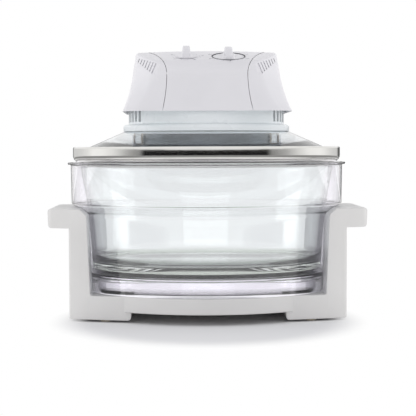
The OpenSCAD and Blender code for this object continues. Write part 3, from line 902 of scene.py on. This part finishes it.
@dataclass
class Lid:
    """Conical glass lid in its rolled steel band, with the seal below it."""

    band_r: float = 160
    band_top: float = 200
    face_r: float = 138.5
    face_z: float = 200.5
    rise: float = 0.434
    glass_t: float = 4.9

    def top(self, radius: float) -> float:
        """Height of the glass's upper face at a radius."""
        return self.face_z + (self.face_r - radius) * self.rise

    def glass(self) -> Mesh:
        """Makes the conical glass with rounded edges."""
        inner, outer = 88, 156
        corners = [(inner, self.top(inner), 1.2), (outer, self.top(outer), 1.2)]
        corners += [(r, self.top(r) - self.glass_t, 1.2) for r in (outer, inner)]
        return revolve("lid_glass", rounded(corners), 256)

    def band(self) -> Mesh:
        """Makes the steel band: lip, wall and the curl that bends under the seal."""
        bend, low, sheet = 9.5, 190.2, 0.9
        curl, hem = (
            [
                (self.band_r - bend + reach * math.cos(a), low + reach * math.sin(a))
                for a in np.radians(np.linspace(*turn, 12))
            ]
            for reach, turn in ((bend, (0, -62)), (bend - sheet, (-62, 0)))
        )
        lip = [
            (155.8, self.band_top - 1.5, 0), (148, self.top(148) + 0.1, 0), (148, self.top(148) + 1.1, 0.4),
            (155.5, self.band_top, 2), (self.band_r, self.band_top, 2.4), (self.band_r, low + 0.5, 0),
        ]
        foot = [(152, 181.8), (147.5, 181.8), (147.5, 182.7), (152, 182.7)]
        inside = self.band_r - sheet
        top_in = [(inside, low + 0.5, 0), (inside, 199.1, 1.5), (155.9, 199.1, 0)]
        return revolve("lid_band", rounded(lip) + curl + foot + hem + rounded(top_in), 256)

    def seal(self) -> Mesh:
        """Makes the silicone seal under the glass's edge."""
        under = [self.top(r) - self.glass_t - 0.1 for r in (143, 156.1)]
        corners = [
            (143, 179, 0.8), (145.2, 178, 0.6), (147.3, 182, 0), (147.3, 182.9, 0), (154, 183.1, 1),
            (158.4, 189.5, 0.6), (158.4, 192.4, 0.4), (156.1, under[1], 0), (143, under[0], 0),
        ]
        return revolve("lid_seal", rounded(corners, 3))

    def build(self) -> None:
        """Shows the lid's pieces."""
        dress("lid_dome", self.glass(), LID_GLASS, Body.LID, ["lid_glass"])
        dress("steel_band", self.band(), BAND_STEEL, Body.LID, ["lid_band"])
        dress("seal_ring", self.seal(), SILICONE, Body.LID, ["lid_seal"])
        finish_nodes({"glass_gasket": SILICONE, "clamp_ring": COOL_PBT_PAINTED_LIGHT, "clamp_screws": ZINC_PLATE})


@dataclass
class Heater:
    """Heater can with its reflector, halogen ring lamp and guard."""

    def build(self) -> None:
        """Gives the heater's CAD nodes their finishes."""
        finish_nodes(
            {
                # The can's dark colour is a painted reflection of dark surroundings
                "heater_can": CAN_STEEL_PAINTED_REFLECTION,
                "can_brackets": TINTED_STEEL,
                "reflector": ALUMINIUM,
                "insulation_disc": FIBRE_BOARD,
                "lamp_guard": ZINC_PLATE,
                "halogen_lamp": QUARTZ,
                "lamp_filament": TUNGSTEN,
                "lamp_holders": STEATITE,
                "sensor_probe": COPPER,
                "thermal_fuse": ZINC_PLATE,
            }
        )


def smooth_min(first: np.ndarray, second: np.ndarray, width: float) -> np.ndarray:
    """Takes the smaller of two values, rounded where they are within width of each other."""
    near = np.clip(width - np.abs(first - second), 0, None) / width
    return np.minimum(first, second) - near * near * width / 4


@dataclass
class CoverShape:
    """The white cover's outer surface, as a grid of columns round the axis and rows up to the crest."""

    foot_z: float = 240.6
    crest_z: float = 314.5
    slope_deg: float = 15.5
    deck_z: float = 302
    side_edge: float = 3.5
    front_edge: float = 14
    corner_soft: float = 7
    columns: int = 420
    side_rows: int = 56
    field_step: float = 0.6
    crown_r: float = 1020
    side_arc: tuple[float, float, float] = (256.8, 301, 170)
    front_arc: tuple[float, float, float] = (194.1, 332.6, 130)
    corner_arc: tuple[float, float, float] = (196.8, 330, 112)

    def reach(self, arc: tuple[float, float, float], z: np.ndarray) -> np.ndarray:
        """Gives how far a hollow arc lies from the axis.

        Args:
            arc: distance and height of its centre, and its radius.
            z: heights.

        Returns:
            The distances.
        """
        return arc[0] - np.sqrt(arc[2] ** 2 - (arc[1] - z) ** 2)

    def plan_radius(self, turn: np.ndarray, z: np.ndarray, inset: float) -> np.ndarray:
        """Gives the distance from the axis to the side surface.

        Args:
            turn: angle about the axis, in radians.
            z: height.
            inset: how far inside the outer surface.

        Returns:
            The distances.
        """
        side, front, corner = (
            self.reach(arc, z) - inset for arc in (self.side_arc, self.front_arc, self.corner_arc)
        )
        to_side = side / np.maximum(np.abs(np.cos(turn)), 1e-3)
        to_front = front / np.maximum(np.abs(np.sin(turn)), 1e-3)
        straight = smooth_min(to_side, to_front, 3.0)
        return smooth_min(straight, corner + 0 * turn, self.corner_soft)

    def height(self, x: np.ndarray, y: np.ndarray, inset: float) -> np.ndarray:
        """Gives the height of the top.

        Args:
            x: places to the right of the middle.
            y: places behind the axis.
            inset: how far below the outer surface.

        Returns:
            The heights.
        """
        panel = self.crest_z + (y + 12) * math.tan(math.radians(self.slope_deg))
        crown = self.crest_z - self.crown_r + np.sqrt(self.crown_r**2 - x**2)
        front = smooth_min(smooth_min(panel, 0 * y + self.crest_z, 2.5), crown, 1.5)
        share = np.clip((y - 2.5) / 5, 0, 1)
        share = share * share * (3 - 2 * share)
        return front * (1 - share) + self.deck_z * share - inset

    def field_inset(self, x: np.ndarray, y: np.ndarray, z: np.ndarray) -> np.ndarray:
        """Gives how far the louvred field of each pod lies inside the pod's surface.

        Args:
            x: places to the right of the middle.
            y: places behind the axis.
            z: heights.

        Returns:
            The depths, 0 outside the field.
        """
        right = np.abs(x)
        inner = (13.4 * (right - 58.6) + 3.4 * (z - 284.5)) / 13.82
        lower = (-0.66 * (right - 59.2) + z - 282) / 1.2
        share = np.clip(np.minimum(inner, lower) / 1.3, 0, 1)
        fade = np.clip((24 - y) / 10, 0, 1)
        return self.field_step * share * share * (3 - 2 * share) * fade

    def turns(self) -> np.ndarray:
        """Gives column angles spaced evenly round the plan at mid height."""
        fine = np.linspace(0, 2 * math.pi, 4001)
        radius = self.plan_radius(fine, 0 * fine + 280, 0)
        steps = np.hypot(np.diff(radius * np.cos(fine)), np.diff(radius * np.sin(fine)))
        length = np.concatenate([[0], np.cumsum(steps)])
        return np.interp(np.linspace(0, length[-1], self.columns, endpoint=False), length, fine)

    def rows(self, inset: float, side_rows: int, top_rows: int) -> list[np.ndarray]:
        """Makes the loops of one surface from the foot to the crest.

        Args:
            inset: how far inside the outer surface.
            side_rows: loops up the side.
            top_rows: loops over the top.

        Returns:
            The loops, from the foot upwards.
        """
        turn = self.turns()
        front = np.clip((-np.sin(turn) - 0.72) / 0.2, 0, 1)
        front = front * front * (3 - 2 * front)
        edge = np.maximum(self.side_edge + (self.front_edge - self.side_edge) * front - inset, 1.2)
        rim = 0 * turn + 305.0
        for _ in range(12):
            radius = self.plan_radius(turn, rim, inset)
            rim = self.height(radius * np.cos(turn), radius * np.sin(turn), inset) - edge
        loops = []
        for share in np.linspace(0, 1, side_rows):
            z = self.foot_z + (rim - self.foot_z) * share
            radius = self.plan_radius(turn, z, inset)
            x, y = radius * np.cos(turn), radius * np.sin(turn)
            radius = radius - self.field_inset(x, y, z) * (inset == 0)
            loops.append(np.stack([radius * np.cos(turn), radius * np.sin(turn), z], 1))
        last = loops[-1]
        radius = np.hypot(last[:, 0], last[:, 1])
        for a in np.radians(np.linspace(0, 90, 7))[1:]:
            near = radius - edge * (1 - math.cos(a))
            x, y = near * np.cos(turn), near * np.sin(turn)
            loops.append(np.stack([x, y, self.height(x, y, inset) - edge * (1 - math.sin(a))], 1))
        top = loops[-1]
        for share in np.linspace(1, 0, top_rows)[1:-1]:
            x, y = top[:, 0] * share, top[:, 1] * share
            loops.append(np.stack([x, y, self.height(x, y, inset)], 1))
        return loops

    def shell(self, outer: float, inner: float) -> Mesh:
        """Makes the closed shell between two insets.

        Args:
            outer: inset of its outer surface.
            inner: inset of its inner surface.

        Returns:
            A closed mesh.
        """
        outside = self.rows(outer, self.side_rows, 44)
        inside = self.rows(inner, 18, 16)
        for loop in (outside[0], inside[0]):
            loop[:, 2] = self.foot_z
        return loft("cover_shell", outside[::-1] + inside)


@dataclass
class Head:
    """White control head: base with flange and vented collar, saddle, side pods and what they hold."""

    shape: CoverShape = field(default_factory=CoverShape)
    cover_t: float = 2.5
    dial_y: float = -44
    seam: float = 0.55
    collar_r: float = 93
    flange_r: float = 99.6
    vent_count: int = 12
    vent_pitch_deg: float = 5.8
    vent_from_deg: float = -32
    louvre_count: int = 7
    louvre_w: float = 1.35
    louvre_w_less: float = 0.1
    louvre_long: float = 13
    louvre_long_less: float = 1.35
    louvre_lean_deg: float = -23
    louvre_top: Point = (59, 296.5)
    louvre_step: Point = (3.3, 1.17)

    def pod_outline(self, grow: float) -> list[Point]:
        """Gives the front outline of the right pod: a long hollow arc, a short arc and a straight top.

        Args:
            grow: how far the outline lies outside the pod.

        Returns:
            The outline's points.
        """
        bend_z, inner_x = 284, 69 - grow
        long_r, short_r = 187 + grow, 28 + grow
        low = [(234 - math.sqrt(long_r**2 - (z - bend_z) ** 2), z) for z in np.linspace(236, bend_z, 25)]
        stop = math.degrees(math.acos((inner_x - 75) / short_r))
        high = [
            (75 + short_r * math.cos(a), bend_z + short_r * math.sin(a))
            for a in np.radians(np.linspace(180, stop, 20)[1:])
        ]
        return low + high + [(inner_x, 345), (140, 345), (140, 236)]

    def pod_space(self, grow: float) -> Mesh:
        """Makes the space of the right pod, without the rear deck's plate.

        Args:
            grow: how far the space reaches past the pod.

        Returns:
            A closed mesh.
        """
        space = extrude("pod_space", self.pod_outline(grow), -130, 130, 0, "Y")
        deck = block("deck", (0, 1.5 + grow, 299.5 + grow), (69 - grow, 140, 360))
        return carved(space, deck, Cut.TAKE)

    def louvres(self) -> Mesh:
        """Makes the slots of the right pod as one cutter."""
        cuts = []
        for i in range(self.louvre_count):
            length = self.louvre_long - self.louvre_long_less * i
            half = (self.louvre_w - self.louvre_w_less * i) / 2
            slot = block("slot", (-half, 0, -length), (half, 82, 0), 0.25)
            lean = Matrix.Rotation(math.radians(self.louvre_lean_deg), 4, "Y")
            x, z = (start + step * i for start, step in zip(self.louvre_top, self.louvre_step))
            cuts.append(placed(slot, Matrix.Translation((x, -100, z)) @ lean))
        return joined("louvres", cuts)

    def on_panel(self, x: float) -> Matrix:
        """Gives a dial's place on the sloping panel.

        Args:
            x: the dial's distance to the right of the middle.

        Returns:
            The place, its shift in millimetres.
        """
        slope = math.radians(self.shape.slope_deg)
        z = self.shape.crest_z + (self.dial_y + 12) * math.tan(slope)
        return Matrix.Translation((x, self.dial_y, z)) @ Matrix.Rotation(slope, 4, "X")

    def build_cover(self) -> None:
        """Shows the saddle and the two pods."""
        shell = self.shape.shell(0, self.cover_t)
        pod = carved(shell.copy(), self.pod_space(0), Cut.KEEP)
        pod = carved(pod, self.louvres(), Cut.TAKE)
        baffle_space = block("baffle_space", (54, -88, 280), (83.5, -14, 309))
        baffle = carved(self.shape.shell(1.75, 2.9), baffle_space, Cut.KEEP)
        saddle = shell
        gap = self.pod_space(self.seam)
        for each in (gap, mirrored(gap)):
            saddle = carved(saddle, each, Cut.TAKE)
        groove = [(0, -0.9), (18, -0.9), (18.2, -1.9), (20, -1.9), (20, 8), (0, 8)]
        recess = revolve("recess", groove, 96)
        saddle = carved(saddle, placed(recess, self.on_panel(HEAT_X)), Cut.TAKE)
        lug_side = rounded([(20, 299, 0), (20, 311, 4.5), (8, 311, 4.5), (8, 299, 0)])
        along_x = Matrix(((0, 0, 1, 0), (1, 0, 0, 0), (0, 1, 0, 0), (0, 0, 0, 1)))
        lug = placed(extrude("lug", lug_side, 46, 55.6, 0.8), along_x)
        saddle = joined("saddle", [saddle, lug, mirrored(lug)])
        dress("saddle_shell", saddle, WHITE_ABS, Body.LID, ["saddle_cover"], 30)
        pods = {"left": mirrored(pod), "right": pod}
        baffles = {"left": mirrored(baffle), "right": baffle}
        for side, mesh in pods.items():
            dress(f"{side}_pod_shell", mesh, WHITE_ABS, Body.LID, [f"{side}_pod"], 30)
            dress(f"{side}_louvre_baffle", baffles[side], WHITE_ABS, Body.LID)

    def build_base(self) -> None:
        """Shows the flange, collar and shoulder as one piece, and the sleeve behind the vents, dark grey as
        painted shade.
        """
        top = [Lid().top(r) + 0.2 for r in (88, self.flange_r - 1)]
        inside = self.collar_r - 2.5
        corners = [
            (12, 223.5, 0.5), (86.5, 223.5, 0.5), (86.5, top[0], 0), (88, top[0], 0.4),
            (self.flange_r - 0.3, top[1] + 0.05, 0.4), (self.flange_r, 226, 3.4), (self.collar_r, 226.6, 1.0),
            (self.collar_r, 246, 0.6), (inside, 246, 0.6), (inside, 226, 0.6), (12, 226, 0.5),
        ]
        ring = revolve("head_base", rounded(corners, 5), 256)
        cuts = []
        for i in range(self.vent_count):
            slot = block("vent", (87, -2.4, 229), (95.5, 2.4, 243.4), 0.7)
            turn = math.radians(self.vent_from_deg + i * self.vent_pitch_deg)
            turned = placed(slot, Matrix.Rotation(turn, 4, "Z"))
            cuts += [turned, mirrored(turned)]
        gland_hole = revolve("gland_hole", [(0, -8), (6, -8), (6, 12), (0, 12)], 48)
        cuts.append(placed(gland_hole, self.gland_place()))
        ring = carved(ring, joined("vents", cuts), Cut.TAKE)
        turn = self.shape.turns()
        radius = self.shape.plan_radius(turn, 0 * turn + 244.5, self.cover_t + 0.3)
        loops = [
            np.stack([r * np.cos(turn), r * np.sin(turn), 0 * turn + z], 1)
            for r, z in ((0 * turn + 92, 243.6), (radius, 243.6), (radius, 245.4), (0 * turn + 92, 245.4))
        ]
        shoulder = loft("shoulder", loops, caps=False)
        mesh = joined("head_base", [ring, shoulder])
        # The collar's cool white is painted brighter, as painted light against the shade under the cover
        dress("head_collar", mesh, COOL_PBT_PAINTED_LIGHT, Body.LID, ["head_base"], 32)
        # A dark grey sleeve behind the vent slots: painted shade for the head's shaded inside
        sleeve = [(83.4, 226.1), (84.2, 226.1), (84.2, 243.5), (83.4, 243.5)]
        dress("vent_shade_sleeve", revolve("vent_shade_sleeve", sleeve, 128), PAINTED_SHADE_GREY, Body.LID)

    def gland_place(self) -> Matrix:
        """Gives the place of the cord gland, its axis pointing out of the collar's back."""
        turn = Matrix.Rotation(math.radians(-20), 4, "Z")
        return turn @ Matrix.Translation((0, 88, 235)) @ Matrix.Rotation(math.radians(-90), 4, "X")

    def build_gland(self) -> None:
        """Shows the cord gland with rounded collars."""
        corners = [
            (3.6, 0, 0.4), (8, 0, 0.5), (8, 2, 0.3), (5.9, 2, 0), (5.9, 5.3, 0), (8, 5.3, 0.3),
            (8, 7.3, 0.9), (3.6, 7.3, 0.6),
        ]
        mesh = placed(revolve("cord_gland", rounded(corners, 3), 64), self.gland_place())
        dress("gland_bush", mesh, COOL_PBT_PAINTED_LIGHT, Body.LID, ["cord_gland"])

    def build(self) -> None:
        """Shows the head's pieces."""
        self.build_base()
        self.build_cover()
        self.build_gland()
        finish_nodes(
            {
                "cover_screws": ZINC_PLATE,
                "terminal_block": PHENOLIC,
                "timer_unit": PASSIVATED,
                "thermostat_unit": ZINC_PLATE,
                "micro_switch": RED_NYLON,
                "motor_stator": LAMINATION,
                "motor_coil": WINDING,
                "lower_motor_bracket": ZINC_PLATE,
                "upper_motor_bracket": ZINC_PLATE,
                "bracket_screws": ZINC_PLATE,
            }
        )


@dataclass
class Dial:
    """A dial: a low disc with a finger blade across it."""

    name: str
    node: str
    shaft: str
    body: Body
    x: float
    radius: float
    low: float
    blade_h: float
    blade_w: float = 9
    top_r: float = 30

    def disc(self) -> Mesh:
        """Makes the flat disc, thinner towards its edge."""
        outline = [
            (0, self.low, 0),
            (self.radius, self.low, 0.1),
            (self.radius, self.low + 0.3, 0.1),
            (self.radius - 5, self.low + 0.9, 4),
            (0, self.low + 0.9, 0),
        ]
        return revolve("disc", rounded(outline), 96)

    def blade(self) -> Mesh:
        """Makes the finger blade: sides that flare into the disc and a top that arches from front to back."""
        reach = self.radius - 1
        foot = self.low + 0.5
        rise = [(0.0, 4.6), (0.05, 2.9), (0.11, 1.7), (0.2, 0.85), (0.32, 0.35), (0.5, 0.1), (0.8, 0.0)]
        edge = np.radians(range(15, 91, 15))
        rise += [(1 - 0.2 * (1 - math.sin(a)), -1.9 * (1 - math.cos(a))) for a in edge]
        loops = []
        for turn in np.radians(np.linspace(-88, 88, 41)):
            y = reach * math.sin(turn)
            share = (1 - abs(math.sin(turn)) ** 7) ** (1 / 7)
            height = self.blade_h - self.top_r + math.sqrt(self.top_r**2 - y**2) - foot
            side = [((self.blade_w / 2 + grow) * share, y, foot + height * level) for level, grow in rise]
            loops.append(np.array(side + [(-x, y, z) for x, _, z in side[::-1]]))
        return loft("blade", loops)

    def build(self, place: Matrix) -> None:
        """Shows the dial at its place on the panel.

        Args:
            place: the place, its shift in millimetres.
        """
        mesh = placed(joined(self.name, [self.disc(), self.blade()]), place)
        dress(self.name, mesh, WHITE_ABS, self.body, [self.node], 50)
        finish_nodes({self.shaft: ZINC_PLATE})


@dataclass
class Controls:
    """The two dials with their printed scales."""

    head: Head
    timer: Dial = field(
        default_factory=lambda: Dial(
            "timer_dial", "timer_knob", "timer_shaft", Body.TIMER, TIMER_X, 13, 0.3, 12.2
        )
    )
    heat: Dial = field(
        default_factory=lambda: Dial(
            "heat_dial", "temperature_knob", "thermostat_shaft", Body.TEMPERATURE, HEAT_X, 18.5, -0.5, 11
        )
    )
    ink: float = 0.06

    def marks(self, count: int, radius: float, from_deg: float, to_deg: float, long: float) -> list[Mesh]:
        """Makes printed marks round a dial.

        Args:
            count: number of marks.
            radius: distance of the marks from the dial's axis.
            from_deg: first mark's turn from the back, clockwise.
            to_deg: last mark's turn.
            long: length of every fourth mark; the others are half as long.

        Returns:
            The marks, around the origin.
        """
        made = []
        for i in range(count):
            turn = from_deg + (to_deg - from_deg) * i / (count - 1)
            reach = long if i % 4 == 0 else long / 2
            mark = block("mark", (-0.3, radius, -0.3), (0.3, radius + reach, self.ink))
            made.append(placed(mark, Matrix.Rotation(math.radians(-turn), 4, "Z")))
        return made

    def numbers(self, labels: Sequence[str], radius: float, from_deg: float, to_deg: float) -> list[Mesh]:
        """Makes upright numbers round a dial, as thin raised meshes.

        Args:
            labels: the numbers, clockwise.
            radius: distance of their middles from the dial's axis.
            from_deg: first number's turn from the back, clockwise.
            to_deg: last number's turn.

        Returns:
            The numbers, around the origin.
        """
        made = []
        for i, label in enumerate(labels):
            curve = bpy.data.curves.new("number", "FONT")
            curve.body, curve.size, curve.extrude = label, 3.0 * MM, self.ink * MM
            curve.align_x, curve.align_y = "CENTER", "CENTER"
            text = bpy.data.objects.new("number", curve)
            bpy.context.scene.collection.objects.link(text)
            graph = bpy.context.evaluated_depsgraph_get()
            mesh = bpy.data.meshes.new_from_object(text.evaluated_get(graph))
            bpy.data.objects.remove(text)
            turn = math.radians(from_deg + (to_deg - from_deg) * i / (len(labels) - 1))
            spot = Matrix.Translation((radius * math.sin(turn), radius * math.cos(turn), 0))
            made.append(placed(mesh, spot))
        return made

    def build(self) -> None:
        """Shows the dials and their scales."""
        for dial in (self.timer, self.heat):
            dial.build(self.head.on_panel(dial.x))
        timer_scale = self.marks(13, 15.6, 0, 300, 1.6)
        timer_scale += self.numbers(["0", "15", "30", "45", "60"], 19.6, 0, 300)
        heat_scale = self.marks(13, 20.8, 40, 310, 1.4)
        heat_scale += self.numbers(["65", "125", "175", "225", "250"], 24.6, 62, 298)
        for name, scale, x in (("timer_scale", timer_scale, TIMER_X), ("heat_scale", heat_scale, HEAT_X)):
            mesh = placed(joined(name, scale), self.head.on_panel(x))
            dress(name, mesh, GREY_INK, Body.LID)
        # A dark grey ring lining the recess: painted shade for the shadowed gap round the heat dial
        liner = rounded([(19.2, -1.7, 0.1), (19.9, -1.7, 0.1), (19.9, 0.5, 0.2), (19.2, 0.5, 0.2)], 2)
        liner_mesh = placed(revolve("liner", liner, 96), self.head.on_panel(HEAT_X))
        dress("heat_recess_shade_liner", liner_mesh, PAINTED_SHADE_GREY, Body.LID)


@dataclass
class CarryHandle:
    """Folding handle that lies on the head's rear deck, with its pins and the safety plunger."""

    low_z: float = 303
    thick: float = 8
    half: float = 66
    pivot_y: float = 14

    def build(self) -> None:
        """Shows the handle and gives its small parts their finishes."""
        inner = self.half - 10
        right = [(self.half, self.pivot_y, 0), (self.half, 36, 9), (46, 60, 14)]
        right_inner = [(41, 50, 8), (inner, 32, 7), (inner, self.pivot_y, 0)]
        left, left_inner = ([(-x, y, r) for x, y, r in side[::-1]] for side in (right, right_inner))
        outline = rounded(right + left + left_inner + right_inner)
        bow = extrude("bow", outline, self.low_z, self.low_z + self.thick, 2.2)
        half = self.thick / 2
        eye_outline = [(2.05, inner, 0.3), (half, inner, 0.6), (half, self.half, 0.9), (2.05, self.half, 0.3)]
        eye = revolve("eye", rounded(eye_outline, 3), 64)
        turn = Matrix.Translation((0, self.pivot_y, self.low_z + half)) @ Matrix.Rotation(math.pi / 2, 4, "Y")
        eye = placed(eye, turn)
        mesh = joined("carry_handle", [bow, eye, mirrored(eye)])
        dress("carry_bow", mesh, WHITE_ABS, Body.HANDLE, ["carry_handle"], 45)
        finish_nodes({"handle_pins": ZINC_PLATE, "switch_plunger": RED_NYLON})


@dataclass
class FanDrive:
    """Motor parts and fans that turn together."""

    def build(self) -> None:
        """Gives the turning CAD nodes their finishes."""
        finish_nodes(
            {
                "motor_rotor": LAMINATION,
                "motor_shaft": ZINC_PLATE,
                "cooling_fan": ALUMINIUM,
                "convection_fan": ALUMINIUM,
                "fan_nut": ZINC_PLATE,
            }
        )


# Brightness of the card wall by turn from the front in degrees: black ahead of the band, white at its sides
SIDE_TONES = ((68, 0.5), (81, 0.85), (95, 1.1), (110, 1.1), (130, 0.82))
LEFT_TONES = ((0, 0.012), (53, 0.012), (57, 0.3), *SIDE_TONES, (158, 0.7), (163, 0.2), (180, 0.1))
RIGHT_TONES = ((0, 0.012), (49, 0.012), (54, 0.3), *SIDE_TONES, (146, 0.7), (152, 0.12), (180, 0.1))


@dataclass
class Studio:
    """Camera, lamps, floor, world and what mirrors see."""

    distance: float = 1831
    eye_z: float = 196
    focal_px: float = 1520
    frame_px: float = 416
    centre_px: tuple[float, float] = (206.6, 150)
    turn_deg: float = 1.1
    roll_deg: float = -0.2
    card_r: float = 2.4
    card_top: float = 0.42
    table_tone: float = 0.32
    reach: float = 3.0
    light_passes: int = 32

    def camera(self) -> None:
        """Puts the camera at the photograph's place."""
        data = bpy.data.cameras.new("camera")
        data.sensor_width = 36
        data.lens = 36 * self.focal_px / self.frame_px
        made = bpy.data.objects.new("camera", data)
        bpy.context.scene.collection.objects.link(made)
        half = self.frame_px / 2
        tilt = math.atan((half - self.centre_px[1]) / self.focal_px)
        aside = (half - self.centre_px[0]) * self.distance / self.focal_px
        turn = Matrix.Rotation(math.radians(-self.turn_deg), 4, "Z")
        made.location = turn @ Vector((aside * MM, -self.distance * MM, self.eye_z * MM))
        raised = turn @ Matrix.Rotation(math.pi / 2 - tilt, 4, "X")
        made.rotation_euler = (raised @ Matrix.Rotation(math.radians(self.roll_deg), 4, "Z")).to_euler()
        bpy.context.scene.camera = made

    def lamp(
        self, name: str, place: Sequence[float], aim: Sequence[float], size: Point, power: float
    ) -> None:
        """Adds a soft rectangular lamp.

        Args:
            name: name of the lamp.
            place: where it hangs, in metres.
            aim: the point it faces.
            size: width and height in metres.
            power: its power in watts.
        """
        data = bpy.data.lights.new(name, "AREA")
        data.shape, data.size, data.size_y, data.energy = "RECTANGLE", size[0], size[1], power
        made = bpy.data.objects.new(name, data)
        bpy.context.scene.collection.objects.link(made)
        made.location = place
        made.rotation_euler = (Vector(aim) - Vector(place)).to_track_quat("-Z", "Y").to_euler()
        made.visible_glossy = False

    def world(self) -> None:
        """Makes a world that is white where it is seen or mirrored and softer where it lights."""
        made = bpy.data.worlds.new("studio")
        made.use_nodes = True
        tree = made.node_tree
        tree.nodes.clear()
        path = add_node(tree, "ShaderNodeLightPath").outputs
        seen = larger(tree, path["Is Camera Ray"], path["Is Glossy Ray"])
        seen = larger(tree, seen, path["Is Transmission Ray"])
        soft, white = (
            add_node(tree, "ShaderNodeBackground", {"Color": colour, "Strength": strength}).outputs[0]
            for colour, strength in ((linear("#FAFAFC"), 0.7), ((1, 1, 1, 1), 1.0))
        )
        add_node(tree, "ShaderNodeOutputWorld", links={"Surface": mixed(tree, seen, soft, white)})
        bpy.context.scene.world = made

    def floor(self) -> None:
        """Adds a pale floor that takes the shadow and fades into the white behind it."""
        mesh = bpy.data.meshes.new("floor")
        corners = [(x * self.reach, y * self.reach, 0) for x, y in ((-1, -1), (1, -1), (1, 1), (-1, 1))]
        mesh.from_pydata(corners, [], [(0, 1, 2, 3)])
        made = bpy.data.objects.new("floor", mesh)
        bpy.context.scene.collection.objects.link(made)
        paint = bpy.data.materials.new("white_studio_paper")
        paint.use_nodes = True
        tree = paint.node_tree
        tree.nodes.clear()
        where = add_node(tree, "ShaderNodeTexCoord").outputs["Object"]
        shape = {"Location": (0, 0.3, 0), "Scale": (5.6, 3.9, 1)}
        oval = add_node(tree, "ShaderNodeMapping", shape, {"Vector": where})
        far = add_node(tree, "ShaderNodeVectorMath", {"operation": "LENGTH"}, {0: oval.outputs[0]})
        settings = {"From Min": 0.75, "From Max": 1.05, "interpolation_type": "SMOOTHSTEP"}
        fade = add_node(tree, "ShaderNodeMapRange", settings, {"Value": far.outputs["Value"]}).outputs[0]
        paper = add_node(tree, "ShaderNodeBsdfDiffuse", {"Color": linear("#EDEDEE")}).outputs[0]
        white = add_node(tree, "ShaderNodeEmission", {"Strength": 1.0}).outputs[0]
        add_node(tree, "ShaderNodeOutputMaterial", links={"Surface": mixed(tree, fade, paper, white)})
        mesh.materials.append(paint)

    def card(
        self,
        name: str,
        points: Sequence[Sequence[float]],
        faces: Sequence[tuple[int, ...]],
        tones: Sequence[float],
    ) -> None:
        """Adds a glowing card that only mirrors see.

        Args:
            name: name of the card.
            points: its corners, in metres.
            faces: its faces.
            tones: brightness at each corner.
        """
        mesh = bpy.data.meshes.new(name)
        mesh.from_pydata([tuple(p) for p in points], [], list(faces))
        mesh.attributes.new("tone", "FLOAT", "POINT").data.foreach_set("value", list(tones))
        paint = bpy.data.materials.get("graded_card") or bpy.data.materials.new("graded_card")
        if not paint.use_nodes:
            paint.use_nodes = True
            paint.node_tree.nodes.clear()
            shade = add_node(paint.node_tree, "ShaderNodeAttribute", {"attribute_name": "tone"})
            glow = add_node(paint.node_tree, "ShaderNodeEmission", links={"Strength": shade.outputs["Fac"]})
            add_node(paint.node_tree, "ShaderNodeOutputMaterial", links={"Surface": glow.outputs[0]})
        mesh.materials.append(paint)
        made = bpy.data.objects.new(name, mesh)
        bpy.context.scene.collection.objects.link(made)
        for kind in ("camera", "diffuse", "transmission", "volume_scatter", "shadow"):
            setattr(made, f"visible_{kind}", False)

    def surround(self) -> None:
        """Adds what mirrors see: a table, and walls that are black in front and graded white at the sides."""
        turns = np.arange(-180, 180, 1.5)
        left, right = np.interp(-turns, *zip(*LEFT_TONES)), np.interp(turns, *zip(*RIGHT_TONES))
        level = np.where(turns < 0, left, right)
        count = len(turns)
        sides = np.radians(turns)
        ring = np.stack([np.sin(sides), -np.cos(sides)], 1)
        walls = [np.column_stack([ring * self.card_r, np.full(count, z)]) for z in (0.02, self.card_top)]
        table = [np.column_stack([ring * r, np.full(count, 0.01)]) for r in (0.5, self.card_r)]
        faces = [(k, (k + 1) % count, count + (k + 1) % count, count + k) for k in range(count)]
        self.card("card_wall", np.concatenate(walls), faces, np.concatenate([level, level]))
        self.card("card_table", np.concatenate(table), faces, [self.table_tone] * (2 * count))

    def build(self) -> None:
        """Sets up the whole studio."""
        scene = bpy.context.scene
        scene.view_settings.view_transform = "Standard"
        # A ray through the lid, the bowl and the guard crosses many clear faces
        for limit in ("max_bounces", "transmission_bounces", "transparent_max_bounces"):
            setattr(scene.cycles, limit, self.light_passes)
        self.camera()
        self.world()
        self.floor()
        aim = (0, 0, 0.16)
        self.lamp("top_softbox", (0, 0.5, 1.4), aim, (1.4, 1.2), 1.4)
        self.lamp("front_softbox", (0, -2.2, 0.5), aim, (2.0, 1.2), 8)
        for name, x in (("left_softbox", -1.5), ("right_softbox", 1.5)):
            self.lamp(name, (x, 0.3, 0.5), aim, (1.0, 1.4), 7)
        self.surround()


def main() -> None:
    """Builds the studio and every sub-assembly in order."""
    logging.basicConfig(level=logging.INFO, format="%(message)s")
    Studio().build()
    head = Head()
    parts: list[tuple[str, Callable[[], None]]] = [
        ("base", BaseUnit().build),
        ("bowl", Bowl().build),
        ("lid", Lid().build),
        ("heater", Heater().build),
        ("head", head.build),
        ("controls", Controls(head).build),
        ("carry handle", CarryHandle().build),
        ("fan drive", FanDrive().build),
    ]
    for name, build in parts:
        LOG.info("building the %s", name)
        build()


if __name__ == "__main__":
    main()
